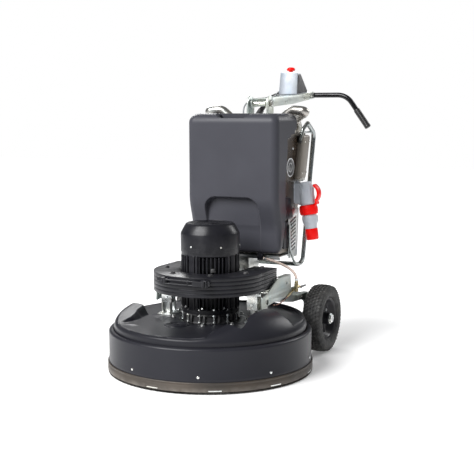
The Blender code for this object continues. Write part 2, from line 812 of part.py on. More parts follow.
def build_tubes():
    half = [
        (CAGE_X + 0.009, 0.505, 1.012),
        (CAGE_X, 0.605, 0.965),
        (CAGE_X, 0.480, 0.382),
    ]
    corners = half + [(-x, y, z) for x, y, z in reversed(half)]
    tube("cage_tube", bent(corners, 0.035), CAGE_R, ZINC, 2)
    top = [
        (0.140, 0.600, 0.830),
        (0.142, 0.604, 0.965),
        (0.150, 0.545, 1.030),
        (0.247, 0.437, 1.064),
        (0.172, 0.452, 1.070),
        (0.112, 0.455, 1.020),
    ]
    corners = top + [(-x, y, z) for x, y, z in reversed(top)]
    tube("roll_bar", bent(corners, 0.040), BAR_R, ZINC, 2)


def build_inlet():
    turn = Euler((0, math.radians(-9), 0))
    middle = Vector((0.247, 0.445, 0.0))
    grey = [(0, 0.655), (0.030, 0.655), (0.034, 0.690), (0.030, 0.750), (0.026, 0.757), (0, 0.757)]
    red = [(0, 0.612), (0.036, 0.612), (0.040, 0.618), (0.040, 0.648), (0.036, 0.6545), (0, 0.6545)]
    plug = [(0, 0.500), (0.024, 0.500), (0.026, 0.504), (0.026, 0.548), (0.030, 0.552), (0.034, 0.575)]
    plug += [(0.034, 0.595), (0.030, 0.6115), (0, 0.6115)]
    pivot_z = 0.700
    for name, profile, paint in (
        ("inlet_housing", grey, GREY),
        ("inlet_collar", red, RED),
        ("inlet_plug", plug, GREY),
    ):
        shape = [(r, z - pivot_z) for r, z in profile]
        turned(name, shape, at(middle.x, middle.y, pivot_z), turn, paint, 20)
    base = box("inlet_base", (CABINET_X + GAP, 0.418, 0.668), (0.246, 0.472, 0.7615), GREY, 0.004)
    join(bpy.data.objects["inlet_housing"], base)
    hook = arc(0.262, 0.706, 0.048, -42, 62, 8) + arc(0.262, 0.706, 0.043, 62, -42, 8)
    turn = Euler((math.pi / 2, 0, 0))
    plate("inlet_lid", [hook], 0.036, at(0, middle.y, 0), turn, RED)


def build_handle_hinge():
    cheek = [(HINGE_Y - 0.034, 1.046), (HINGE_Y + 0.034, 1.046)]
    cheek += arc(HINGE_Y, HINGE_Z, 0.034, 0, 180, 10)
    base = box("handle_clevis", (-0.052, HINGE_Y - 0.034, 1.0418), (0.052, HINGE_Y + 0.034, 1.052), ZINC)
    for side, sign in SIDES:
        join(base, side_plate("cheek_" + side, [cheek], sign * 0.048, 0.008, ZINC))
    bolt = rod("hinge_bolt", 0.008, 0.116, at(0, HINGE_Y, HINGE_Z), ALONG_X, STEEL, 20)
    join(base, bolt)


# --- handle -------------------------------------------------------------------------------------
def build_handle():
    slope = (HANDLE_Z - HINGE_Z) / (HANDLE_Y - HINGE_Y)
    arm = [
        (HINGE_Y - 0.022, HINGE_Z - 0.020),
        (HINGE_Y + 0.30, HINGE_Z + 0.30 * slope - 0.024),
        (HANDLE_Y - 0.016, HANDLE_Z - 0.016),
        (HANDLE_Y - 0.016, HANDLE_Z + 0.014),
        (HINGE_Y + 0.30, HINGE_Z + 0.30 * slope + 0.016),
        (HINGE_Y + 0.0, HINGE_Z + 0.022),
        (HINGE_Y - 0.022, HINGE_Z + 0.010),
    ]
    hole = circle(0.0088, 16, HINGE_Y, HINGE_Z)
    body = side_plate("handle_arm", [arm, hole], 0, 0.072, ZINC)
    top = [(y, z - SHEET) for y, z in arm[3:6]]
    below = HINGE_Z - 0.1
    hollow = [(top[0][0] - SHEET, top[0][1])] + top[1:]
    hollow += [(HINGE_Y, below), (HANDLE_Y - 0.019, below)]
    cut(body, side_plate("arm_hollow", [hollow], 0, 0.072 - 2 * SHEET, ZINC))
    socket = box(
        "bar_socket",
        (-0.030, HANDLE_Y - 0.030, HANDLE_Z - 0.020),
        (0.030, HANDLE_Y - 0.0135, HANDLE_Z + 0.020),
        ZINC,
    )
    join(body, socket)
    half = [BAR_END, BAR_CORNER]
    corners = half + [(-x, y, z) for x, y, z in reversed(half)]
    tube("handlebar", bent(corners, 0.095, 7), HANDLE_R, BLACK_PAINT)


def build_pod():
    wedge = [(0.812, 1.1425), POD_TOP_FRONT, POD_TOP_REAR, POD_LIP, (0.949, 1.1535)]
    pod = side_plate("control_pod", [wedge], 0, 0.088, GREY)
    soften(pod, 0.004)
    sheet = [(0.8055, 1.141), (0.8085, 1.141), (0.8245, 1.250), (0.8215, 1.250)]
    side_plate("pod_bracket", [sheet], 0, 0.096, ZINC)
    stop_y = (POD_TOP_FRONT[0] + POD_TOP_REAR[0]) / 2
    stop_z = POD_TOP_REAR[1]
    cut(pod, rod("stop_bore", 0.0095, 0.024, at(0, stop_y, stop_z), UPRIGHT, GREY, 20))
    mushroom = [(0, -0.006), (0.009, -0.006), (0.009, 0.012), (0.018, 0.013), (0.020, 0.017)]
    mushroom += [(0.020, 0.021), (0.015, 0.026), (0.008, 0.028), (0, 0.0285)]
    turned("emergency_stop", mushroom, at(0, stop_y, stop_z), UPRIGHT, RED, 24)
    for name, x, share, profile, paint in (
        ("speed_knob", -0.018, 0.35, KNOB, BLACK),
        ("start_button", 0.020, 0.35, BUTTON, GREY),
    ):
        y = POD_TOP_REAR[0] + share * (POD_LIP[0] - POD_TOP_REAR[0])
        z = POD_TOP_REAR[1] + share * (POD_LIP[1] - POD_TOP_REAR[1])
        if name == "start_button":
            cut(pod, rod("button_bore", 0.0085, 0.024, at(x, y, z), POD_FACE, GREY, 20))
        turned(name, profile, at(x, y, z), POD_FACE, paint, 20)


def build_grips():
    end = Vector(BAR_END)
    along = Vector(BAR_CORNER) - end
    sleeve_shape = [(0, -0.006), (GRIP_R - 0.002, -0.006), (GRIP_R, -0.004), (GRIP_R, 0.098)]
    inner = HANDLE_R + GAP
    sleeve_shape += [(GRIP_R - 0.001, 0.100), (inner, 0.100), (inner, -GAP), (0, -GAP)]
    for side, sign in SIDES:
        turn = Euler((0, math.atan2(sign * along.x, along.z), 0))
        turned("grip_" + side, sleeve_shape, at(sign * end.x, end.y, end.z), turn, RUBBER, 20)


# --- water and cables ---------------------------------------------------------------------------
def build_valve():
    """Upright ball valve on the right arm, its lever level when shut and pointing down when open."""
    x, y, z = VALVE
    body = rod("valve_body", 0.009, VALVE_LENGTH, at(x, y, z), UPRIGHT, BRASS, 16)
    nut = rod("valve_nut", 0.0105, 0.018, at(x, y, z), UPRIGHT, BRASS, 6)
    stem = rod("valve_stem", 0.005, 0.021, at(x + 0.0105, y, z), ALONG_X, BRASS, 12)
    foot = rod("valve_foot", 0.006, 0.0135, at(x - 0.0068, y, z - 0.014), ALONG_X, BRASS, 12)
    join(body, nut, stem, foot)
    thickness = 0.003
    lever_x = x + 0.021 + GAP + thickness / 2
    bar = [(y - 0.006, z - 0.006), (y + 0.050, z - 0.005), (y + 0.050, z + 0.005), (y - 0.006, z + 0.006)]
    side_plate("valve_lever", [bar], lever_x, thickness, STEEL)


def build_cords():
    for name, route, radius, paint in (
        ("water_hose", HOSE_ROUTE, HOSE_R, CLEAR),
        ("control_cable", CABLE_ROUTE, CABLE_R, CABLE),
    ):
        tube(name, smooth(route, 5 * radius), radius, paint, 2)


def main():
    build_hood()
    build_head_plate()
    build_motor()
    build_rotor()
    build_gears()
    build_skirt()
    build_ballast()
    build_posts()
    build_side_arms()
    build_frame()
    build_wheels()
    build_tank()
    build_cabinet()
    build_tubes()
    build_inlet()
    build_handle_hinge()
    build_handle()
    build_pod()
    build_grips()
    build_valve()
    build_cords()


main()
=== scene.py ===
"""Looks of the walk-behind concrete grinder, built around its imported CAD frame. Metres, +Z up."""

import math

import bmesh
import bpy
import numpy as np
from mathutils import Matrix, Vector


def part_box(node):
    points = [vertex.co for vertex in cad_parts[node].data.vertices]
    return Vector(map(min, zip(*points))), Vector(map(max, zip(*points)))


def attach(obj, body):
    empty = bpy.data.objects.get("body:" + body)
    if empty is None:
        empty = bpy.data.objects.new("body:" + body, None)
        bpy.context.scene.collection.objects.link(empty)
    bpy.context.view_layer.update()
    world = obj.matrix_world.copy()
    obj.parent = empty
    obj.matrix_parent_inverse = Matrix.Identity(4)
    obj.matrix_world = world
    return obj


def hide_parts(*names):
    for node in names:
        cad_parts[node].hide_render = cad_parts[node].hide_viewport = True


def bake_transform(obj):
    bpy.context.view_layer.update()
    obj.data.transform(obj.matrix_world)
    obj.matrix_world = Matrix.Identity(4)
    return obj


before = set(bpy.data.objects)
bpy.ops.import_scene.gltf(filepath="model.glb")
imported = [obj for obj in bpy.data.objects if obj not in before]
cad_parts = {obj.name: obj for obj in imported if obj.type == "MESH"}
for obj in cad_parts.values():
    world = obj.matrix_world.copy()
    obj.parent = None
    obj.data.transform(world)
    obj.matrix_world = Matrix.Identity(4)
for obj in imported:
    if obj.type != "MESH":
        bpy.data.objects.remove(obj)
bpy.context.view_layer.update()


# --- places read from the frame -------------------------------------------------------------------
def middle(node):
    low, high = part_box(node)
    return (low + high) / 2


HEAD_Y = middle("skirt_band").y
SIDES = (("left", -1), ("right", 1))
UP = Vector((0, 0, 1))
ALONG_X = Vector((1, 0, 0))
ALONG_Y = Vector((0, 1, 0))
LEAN = 0.265
GAP = 0.0003


def at(x, y, z):
    """A point given from the head's axis on the floor."""
    return Vector((x, HEAD_Y + y, z))


def span(node):
    """(lowest, highest) corner of a CAD node, given from the head's axis."""
    low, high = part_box(node)
    return low - Vector((0, HEAD_Y, 0)), high - Vector((0, HEAD_Y, 0))


# --- materials ------------------------------------------------------------------------------------
class Paint:
    """A Principled material whose colour, roughness and relief come from noise at real scale."""

    def __init__(self, name, colour, roughness, metallic=0.0, **fixed):
        self.material = bpy.data.materials.new(name)
        self.material.use_nodes = True
        tree = self.material.node_tree
        self.nodes, self.links = tree.nodes, tree.links
        self.shader = self.nodes["Principled BSDF"]
        self.shader.inputs["Metallic"].default_value = metallic
        for socket, value in fixed.items():
            self.shader.inputs[socket.replace("_", " ")].default_value = value
        self.place = self.nodes.new("ShaderNodeTexCoord").outputs["Object"]
        self.colour = None
        self.start = colour
        self.roughness = roughness

    def noise(self, scale, detail=4.0, stretch=None):
        made = self.nodes.new("ShaderNodeTexNoise")
        made.inputs["Scale"].default_value = scale
        made.inputs["Detail"].default_value = detail
        made.inputs["Roughness"].default_value = 0.5
        place = self.place
        if stretch:
            mapping = self.nodes.new("ShaderNodeMapping")
            mapping.inputs["Scale"].default_value = stretch
            self.links.new(place, mapping.inputs["Vector"])
            place = mapping.outputs["Vector"]
        self.links.new(place, made.inputs["Vector"])
        return made.outputs["Fac"]

    def cells(self, scale):
        made = self.nodes.new("ShaderNodeTexVoronoi")
        made.inputs["Scale"].default_value = scale
        self.links.new(self.place, made.inputs["Vector"])
        separate = self.nodes.new("ShaderNodeSeparateColor")
        self.links.new(made.outputs["Color"], separate.inputs["Color"])
        return separate.outputs["Red"]

    def height(self, low, high):
        """1 at the low height, falling to 0 at the high one."""
        separate = self.nodes.new("ShaderNodeSeparateXYZ")
        self.links.new(self.place, separate.inputs["Vector"])
        return self.ranged(separate.outputs["Z"], low, high, 1.0, 0.0)

    def ranged(self, value, low, high, to_low, to_high):
        made = self.nodes.new("ShaderNodeMapRange")
        self.links.new(value, made.inputs["Value"])
        for key, number in zip(("From Min", "From Max", "To Min", "To Max"), (low, high, to_low, to_high)):
            made.inputs[key].default_value = number
        return made.outputs["Result"]

    def times(self, one, other):
        made = self.nodes.new("ShaderNodeMath")
        made.operation = "MULTIPLY"
        self.links.new(one, made.inputs[0])
        self.links.new(other, made.inputs[1])
        return made.outputs["Value"]

    def mixed(self, share, colour):
        """Lays a colour over what is there, by a share from 0 to 1."""
        made = self.nodes.new("ShaderNodeMix")
        made.data_type = "RGBA"
        self.links.new(share, made.inputs["Factor"])
        if self.colour is None:
            made.inputs["A"].default_value = (*self.start, 1)
        else:
            self.links.new(self.colour, made.inputs["A"])
        made.inputs["B"].default_value = (*colour, 1)
        self.colour = made.outputs["Result"]
        return self

    def mottled(self, colour, scale, low=0.35, high=0.65):
        return self.mixed(self.ranged(self.noise(scale, 5.0), low, high, 0.0, 1.0), colour)

    def worn(self, colour, low=0.52, high=0.60):
        """Paint rubbed through along raised edges."""
        raised = self.nodes.new("ShaderNodeNewGeometry").outputs["Pointiness"]
        edge = self.ranged(raised, low, high, 0.0, 1.0)
        patchy = self.ranged(self.noise(40.0), 0.42, 0.62, 0.0, 0.9)
        return self.mixed(self.times(edge, patchy), colour)

    def dusty(self, colour, low, high, scale=30.0):
        """Pale grinding dust, thickest near the floor."""
        patchy = self.ranged(self.noise(scale, 6.0), 0.35, 0.7, 0.1, 1.0)
        return self.mixed(self.times(self.height(low, high), patchy), colour)

    def done(self, spread=0.08, rough_scale=14.0, grain=0.15, grain_scale=900.0, depth=0.0003, stretch=None):
        if self.colour is None:
            self.mottled(tuple(c * 1.25 for c in self.start), rough_scale)
        self.links.new(self.colour, self.shader.inputs["Base Color"])
        low, high = self.roughness - spread, self.roughness + spread
        rough = self.ranged(self.noise(rough_scale, 6.0), 0.3, 0.7, low, high)
        self.links.new(rough, self.shader.inputs["Roughness"])
        bump = self.nodes.new("ShaderNodeBump")
        bump.inputs["Strength"].default_value = grain
        bump.inputs["Distance"].default_value = depth
        self.links.new(self.noise(grain_scale, 3.0, stretch), bump.inputs["Height"])
        self.links.new(bump.outputs["Normal"], self.shader.inputs["Normal"])
        return self.material


def moulding(name, colour, roughness):
    """Rotationally moulded or vacuum-formed black plastic with a fine pebble."""
    lighter = tuple(c * 1.5 for c in colour)
    paint = Paint(name, colour, roughness, Specular_IOR_Level=0.22).mottled(lighter, 3.0, 0.2, 0.9)
    return paint.done(0.04, 6.0, 0.35, 1400.0, 0.0002)


BARE_EDGE = (0.045, 0.045, 0.048)


def powder(name, colour, roughness):
    """Powder coat with slight orange peel, rubbed thin on its edges."""
    paint = Paint(name, colour, roughness, Specular_IOR_Level=0.32)
    return (
        paint
        .mottled(tuple(c * 1.5 for c in colour), 20.0)
        .worn(BARE_EDGE, 0.56, 0.66)
        .done(0.07, 25.0, 0.25, 500.0, 0.0002)
    )


def plated(name, colour, roughness, cells=140.0):
    """Zinc plate: a faint spangle, cloudy blue and straw tints and fine rolling marks."""
    paint = Paint(name, colour, roughness, 0.92)
    paint.mixed(paint.ranged(paint.cells(cells), 0.0, 1.0, 0.0, 0.35), tuple(c * 0.78 for c in colour))
    paint.mottled((colour[0] * 1.02, colour[1] * 0.98, colour[2] * 0.86), 9.0, 0.45, 0.75)
    paint.mottled((colour[0] * 0.82, colour[1] * 0.92, colour[2] * 0.97), 17.0, 0.5, 0.8)
    return paint.done(0.10, 30.0, 0.12, 260.0, 0.0002, (1, 1, 0.15))


BLACK = moulding("satin_black_moulding", (0.013, 0.0132, 0.0170), 0.34)
SKIRT_BLACK = moulding("skirt_black", (0.016, 0.0162, 0.0205), 0.34)
TANK_BLACK = moulding("tank_black", (0.040, 0.0405, 0.0490), 0.40)
PAINT = powder("black_powder_coat", (0.008, 0.008, 0.0105), 0.34)
GLOSS = powder("gloss_black_bar", (0.006, 0.006, 0.007), 0.16)
ZINC = plated("zinc_plate", (0.66, 0.68, 0.68), 0.34)
BRIGHT = plated("bright_zinc", (0.86, 0.87, 0.86), 0.26, 220.0)
GALVANISED = plated("galvanised_sheet", (0.50, 0.54, 0.53), 0.44, 70.0)
TUBE_ZINC = plated("galvanised_tube", (0.45, 0.43, 0.40), 0.30, 160.0)
STEEL = (
    Paint("machined_steel", (0.48, 0.48, 0.49), 0.28, 1.0)
    .mottled((0.36, 0.36, 0.37), 60.0)
    .done(0.08, 80.0, 0.2, 900.0, 0.0001, (1, 1, 0.1))
)
CAST = (
    Paint("dark_casting", (0.030, 0.030, 0.033), 0.52, 0.3)
    .mottled((0.055, 0.055, 0.058), 35.0)
    .worn((0.20, 0.20, 0.20))
    .done(0.08, 60.0, 0.6, 320.0, 0.0006)
)
HOUSING = (
    Paint("grey_brown_paint", (0.215, 0.190, 0.160), 0.38, 0.25)
    .mottled((0.25, 0.225, 0.195), 8.0)
    .worn((0.34, 0.33, 0.31), 0.55, 0.65)
    .done(0.06, 20.0, 0.2, 420.0, 0.0002)
)
PANEL = (
    Paint("brown_panel", (0.030, 0.020, 0.014), 0.26, 0.0)
    .mottled((0.045, 0.031, 0.021), 12.0)
    .done(0.05, 12.0, 0.15, 500.0, 0.0002)
)
GREY = (
    Paint("light_grey_moulding", (0.56, 0.59, 0.64), 0.42)
    .mottled((0.48, 0.51, 0.56), 14.0)
    .done(0.07, 30.0, 0.3, 1100.0, 0.0002)
)
CREAM = Paint("cream_moulding", (0.80, 0.79, 0.74), 0.45).mottled((0.70, 0.69, 0.64), 20.0).done()
RED = (
    Paint("red_moulding", (1.0, 0.008, 0.006), 0.38, Specular_IOR_Level=0.2)
    .mottled((0.93, 0.006, 0.005), 16.0)
    .done(0.06, 40.0, 0.25, 1100.0, 0.0002)
)
YELLOW = Paint("yellow_ring", (0.75, 0.50, 0.02), 0.4).done()
# Painted shade: a flat near-black that stands in for the shade behind the vent slots and louvres.
PAINTED_SHADE = Paint("painted_recess_shade", (0.008, 0.008, 0.009), 0.6).done()
RUBBER = (
    Paint("matt_rubber", (0.014, 0.0135, 0.013), 0.62)
    .mottled((0.024, 0.022, 0.020), 30.0)
    .done(0.08, 60.0, 0.5, 700.0, 0.0004)
)
BAND = (
    Paint("skirt_band_rubber", (0.030, 0.025, 0.020), 0.50)
    .mottled((0.060, 0.046, 0.034), 5.0)
    .dusty((0.20, 0.18, 0.16), 0.0, 0.030)
    .done(0.10, 40.0, 0.5, 600.0, 0.0003, (1, 1, 4))
)
TYRE = (
    Paint("tyre_rubber", (0.018, 0.018, 0.019), 0.66)
    .mottled((0.034, 0.033, 0.032), 24.0)
    .dusty((0.11, 0.105, 0.10), 0.0, 0.06)
    .worn((0.075, 0.075, 0.072), 0.50, 0.60)
    .done(0.08, 70.0, 0.6, 500.0, 0.0005)
)
BRISTLE = (
    Paint("brush_bristle", (0.020, 0.019, 0.018), 0.7)
    .dusty((0.15, 0.14, 0.12), 0.0, 0.012, 90.0)
    .done()
)
BRASS = (
    Paint("turned_brass", (0.52, 0.44, 0.27), 0.30, 1.0)
    .mottled((0.38, 0.31, 0.18), 50.0)
    .done(0.08, 90.0, 0.15, 900.0, 0.0001)
)
HOSE = (
    Paint("clear_pink_hose", (0.80, 0.66, 0.60), 0.18, Transmission_Weight=0.55, IOR=1.42)
    .mottled((0.72, 0.60, 0.52), 40.0)
    .done(0.04, 60.0, 0.1, 400.0, 0.0002)
)
CABLE = (
    Paint("grey_cable_jacket", (0.26, 0.27, 0.29), 0.45)
    .mottled((0.20, 0.21, 0.22), 60.0)
    .done(0.06, 90.0, 0.2, 1500.0, 0.0001)
)
PALE = Paint("pale_badge", (0.55, 0.56, 0.57), 0.35, 0.2).done()
CAGE = plated("cage_zinc", (0.36, 0.385, 0.385), 0.24, 120.0)
GALVANISED_PALE = plated("pale_galvanised", (0.60, 0.635, 0.61), 0.42, 70.0)
GRIP = (
    Paint("grip_rubber", (0.007, 0.007, 0.0075), 0.42)
    .mottled((0.012, 0.012, 0.012), 60.0)
    .done(0.05, 60.0, 0.4, 900.0, 0.0002)
)
# Painted shade: the pod's front sheet is a darker copy of the galvanised sheet, standing in for its shading.
SHEET_PAINTED_SHADE = plated("front_sheet_painted_shade", (0.25, 0.27, 0.30), 0.40, 60.0)
# Painted shade: the pod's white housing is given a mid grey that stands in for its shading.
POD_PAINTED_SHADE = (
    Paint("pod_moulding_painted_shade", (0.36, 0.38, 0.41), 0.46)
    .mottled((0.31, 0.33, 0.36), 14.0)
    .done(0.07, 30.0, 0.3, 1100.0, 0.0002)
)
COPPER = (
    Paint("red_water_line", (0.30, 0.12, 0.08), 0.35)
    .mottled((0.38, 0.20, 0.14), 60.0)
    .done(0.06, 80.0, 0.2, 900.0, 0.0001)
)
DARK_STEEL = (
    Paint("dark_steel", (0.13, 0.13, 0.135), 0.38, 0.9)
    .mottled((0.20, 0.20, 0.20), 70.0)
    .done(0.08, 90.0, 0.2, 900.0, 0.0001)
)


# --- shapes ---------------------------------------------------------------------------------------
def towards(direction):
    """Turns +Z to a direction, with X kept level where it can be."""
    direction = Vector(direction).normalized()
    side = UP.cross(direction)
    side = side.normalized() if side.length > 1e-4 else ALONG_X
    return Matrix((side, direction.cross(side), direction)).transposed().to_4x4()


def placed(place, direction=UP):
    return Matrix.Translation(place) @ towards(direction)


def take(shape, mesh, matrix=None):
    """Adds a mesh to the shape, which the mesh doesn't outlive."""
    if matrix is not None:
        mesh.transform(matrix)
    shape.from_mesh(mesh)
    bpy.data.meshes.remove(mesh)


def rings(shape, loops, caps=True):
    """Skins loops of points, each with the same count, one after another."""
    rows = [[shape.verts.new(p) for p in loop] for loop in loops]
    for one, two in zip(rows, rows[1:]):
        count = len(one)
        for i in range(count):
            shape.faces.new((one[i], one[(i + 1) % count], two[(i + 1) % count], two[i]))
    if caps:
        shape.faces.new(rows[0][::-1])
        shape.faces.new(rows[-1])


def turned(shape, profile, matrix, steps=64):
    """Turns a closed (radius, height) outline about the matrix's Z axis."""
    count = len(profile)
    turns = [math.tau * i / steps for i in range(steps)]
    rows = []
    for radius, height in profile:
        if radius < 1e-6:
            tip = shape.verts.new(matrix @ Vector((0, 0, height)))
            rows.append([tip] * steps)
        else:
            points = [Vector((radius * math.cos(a), radius * math.sin(a), height)) for a in turns]
            rows.append([shape.verts.new(matrix @ p) for p in points])
    for i in range(count):
        one, two = rows[i], rows[(i + 1) % count]
        for k in range(steps):
            corners = []
            for vert in (one[k], one[(k + 1) % steps], two[(k + 1) % steps], two[k]):
                if vert not in corners:
                    corners.append(vert)
            if len(corners) > 2:
                shape.faces.new(corners)


def box(shape, low, high, round_by=0.001, matrix=None, steps=2):
    size = [b - a for a, b in zip(low, high)]
    centre = Vector([(a + b) / 2 for a, b in zip(low, high)])
    part = bmesh.new()
    bmesh.ops.create_cube(part, size=1)
    bmesh.ops.scale(part, vec=size, verts=part.verts)
    if round_by:
        bmesh.ops.bevel(
            part, geom=part.edges, offset=min(round_by, min(size) * 0.45), segments=steps, profile=0.5,
            affect="EDGES"
        )
    bmesh.ops.translate(part, vec=centre, verts=part.verts)
    mesh = bpy.data.meshes.new("box")
    part.to_mesh(mesh)
    part.free()
    take(shape, mesh, matrix if matrix is not None else Matrix.Translation((0, HEAD_Y, 0)))


def rod(shape, start, end, radius, sides=24, round_by=0.0, top=None):
    """A bar between two points, with its end edges rounded."""
    start, end = Vector(start), Vector(end)
    length = (end - start).length
    top = radius if top is None else top
    r = min(round_by, length / 3, radius / 2)
    profile = [(0, 0), (radius - r, 0), (radius, r), (top, length - r), (top - r, length), (0, length)]
    if not r:
        profile = [(0, 0), (radius, 0), (top, length), (0, length)]
    turned(shape, profile, placed(start, end - start), sides)


def bolt(shape, place, direction, radius, height=None, sides=6, washer=True, socket=False):
    """A hexagon or pan head on its washer."""
    height = height or radius * 0.7
    matrix = placed(place, direction)
    lift = 0.0
    if washer:
        lift = radius * 0.22
        turned(shape, [(0, 0), (radius * 1.35, 0), (radius * 1.35, lift), (0, lift)], matrix, 24)
    r = radius * 0.12
    profile = [(0, lift), (radius, lift), (radius, lift + height - r), (radius - r * 1.6, lift + height)]
    if socket:
        profile += [(radius * 0.5, lift + height), (radius * 0.5, lift + height * 0.5),
                    (0, lift + height * 0.5)]
    else:
        profile += [(0, lift + height)]
    turned(shape, profile, matrix, sides)


def arc(cx, cy, radius, start, end, steps):
    turns = [math.radians(start + (end - start) * i / steps) for i in range(steps + 1)]
    return [(cx + radius * math.cos(a), cy + radius * math.sin(a)) for a in turns]


def circle(radius, cx=0.0, cy=0.0, steps=32):
    return arc(cx, cy, radius, 0, 360, steps)[:-1]


def rounded(corners, radius, steps=5):
    """An outline with its corners rounded."""
    made = []
    count = len(corners)
    for i in range(count):
        before, corner, after = (Vector(corners[(i + k) % count]) for k in (-1, 0, 1))
        one, two = before - corner, after - corner
        reach = min(radius, one.length * 0.48, two.length * 0.48)
        start, end = corner + one.normalized() * reach, corner + two.normalized() * reach
        for k in range(steps + 1):
            t = k / steps
            made.append(tuple(start * (1 - t) ** 2 + corner * 2 * t * (1 - t) + end * t**2))
    return made


def plate(shape, outlines, thickness, matrix, edge=0.0006):
    """A flat plate with holes, its edges broken, extruded about its own plane."""
    curve = bpy.data.curves.new("plate", "CURVE")
    curve.dimensions = "2D"
    curve.fill_mode = "BOTH"
    for points in outlines:
        spline = curve.splines.new("POLY")
        spline.points.add(len(points) - 1)
        for point, (x, y) in zip(spline.points, points):
            point.co = (x, y, 0, 1)
        spline.use_cyclic_u = True
    edge = min(edge, thickness * 0.4)
    curve.extrude = thickness / 2 - edge
    curve.bevel_depth = edge
    curve.bevel_resolution = 1
    curve.offset = -edge
    holder = bpy.data.objects.new("plate", curve)
    bpy.context.scene.collection.objects.link(holder)
    bpy.context.view_layer.update()
    graph = bpy.context.evaluated_depsgraph_get()
    mesh = bpy.data.meshes.new_from_object(holder.evaluated_get(graph))
    bpy.data.objects.remove(holder)
    bpy.data.curves.remove(curve)
    part = bmesh.new()
    part.from_mesh(mesh)
    bmesh.ops.remove_doubles(part, verts=part.verts, dist=0.00002)
    part.to_mesh(mesh)
    part.free()
    take(shape, mesh, matrix)


SIDE_VIEW = Matrix(((0, 0, 1, 0), (1, 0, 0, HEAD_Y), (0, 1, 0, 0), (0, 0, 0, 1)))
FRONT_VIEW = Matrix(((1, 0, 0, 0), (0, 0, -1, HEAD_Y), (0, 1, 0, 0), (0, 0, 0, 1)))
PLAN = Matrix.Translation((0, HEAD_Y, 0))


def side_plate(shape, outlines, x, thickness, edge=0.0006):
    """A plate in the Y-Z plane, its outlines given as (y, z) from the head's axis."""
    plate(shape, outlines, thickness, Matrix.Translation((x, 0, 0)) @ SIDE_VIEW, edge)


def tube(shape, points, radius, sides=16):
    """A round bar through world points; a list of radii makes it swell or taper."""
    points = [Vector(p) for p in points]
    count = len(points)
    radii = radius if isinstance(radius, list) else [radius] * count
    heading = (points[1] - points[0]).normalized()
    side = heading.orthogonal().normalized()
    loops = []
    for i, point in enumerate(points):
        ahead = points[min(i + 1, count - 1)] - points[max(i - 1, 0)]
        ahead = ahead.normalized() if ahead.length > 1e-9 else heading
        side = (side - ahead * side.dot(ahead)).normalized()
        other = ahead.cross(side)
        turns = [math.tau * k / sides for k in range(sides)]
        loops.append([point + (side * math.cos(a) + other * math.sin(a)) * radii[i] for a in turns])
    rings(shape, loops)


def bent(points, radius, steps=10):
    """The points of a bar bent to a radius at each inner corner."""
    corners = [Vector(p) for p in points]
    path = [corners[0]]
    for before, corner, after in zip(corners, corners[1:], corners[2:]):
        one = (before - corner).normalized()
        two = (after - corner).normalized()
        shorter = min((before - corner).length, (after - corner).length)
        reach = min(radius / math.tan(one.angle(two) / 2), shorter * 0.49)
        start, end = corner + one * reach, corner + two * reach
        for i in range(steps + 1):
            t = i / steps
            path.append(start * (1 - t) ** 2 + corner * 2 * t * (1 - t) + end * t**2)
    path.append(corners[-1])
    return path


def smooth(points, spacing):
    """Points spaced along a Catmull-Rom curve through the given ones."""
    knots = [Vector(p) for p in points]
    knots = [knots[0] * 2 - knots[1]] + knots + [knots[-1] * 2 - knots[-2]]
    path = [knots[1]]
    for a, b, c, d in zip(knots, knots[1:], knots[2:], knots[3:]):
        count = max(2, round((c - b).length / spacing))
        for i in range(1, count + 1):
            t = i / count
            curved = (2 * a - 5 * b + 4 * c - d) * t**2 + (3 * b - a - 3 * c + d) * t**3
            path.append((2 * b + (c - a) * t + curved) / 2)
    return path


def piece(name, shape, paint, body, nodes=(), angle=32):
    """Makes the shape an object that rides on a body, if one is given, and stands for CAD nodes."""
    bmesh.ops.recalc_face_normals(shape, faces=shape.faces)
    mesh = bpy.data.meshes.new(name)
    shape.to_mesh(mesh)
    shape.free()
    obj = bpy.data.objects.new(name, mesh)
    bpy.context.scene.collection.objects.link(obj)
    mesh.shade_smooth()
    mesh.set_sharp_from_angle(angle=math.radians(angle))
    mesh.materials.append(paint)
    if body:
        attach(obj, body)
    if nodes:
        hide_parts(*nodes)
    return obj


def carve(obj, cutter):
    """Cuts a shape out of a piece for good."""
    mesh = bpy.data.meshes.new("cutter")
    bmesh.ops.recalc_face_normals(cutter, faces=cutter.faces)
    cutter.to_mesh(mesh)
    cutter.free()
    tool = bpy.data.objects.new("cutter", mesh)
    bpy.context.scene.collection.objects.link(tool)
    edit = obj.modifiers.new("cut", "BOOLEAN")
    edit.object = tool
    edit.solver = "EXACT"
    bpy.context.view_layer.update()
    graph = bpy.context.evaluated_depsgraph_get()
    cut_mesh = bpy.data.meshes.new_from_object(obj.evaluated_get(graph))
    obj.modifiers.remove(edit)
    obj.data = cut_mesh
    bpy.data.objects.remove(tool)
    obj.data.shade_smooth()
    obj.data.set_sharp_from_angle(angle=math.radians(32))
    return obj


# --- camera, light and floor ----------------------------------------------------------------------
def area_light(name, place, target, size, power):
    lamp = bpy.data.lights.new(name, "AREA")
    lamp.shape = "RECTANGLE"
    lamp.size, lamp.size_y = size
    lamp.energy = power
    holder = bpy.data.objects.new(name, lamp)
    bpy.context.scene.collection.objects.link(holder)
    holder.matrix_world = placed(Vector(place), Vector(place) - Vector(target))


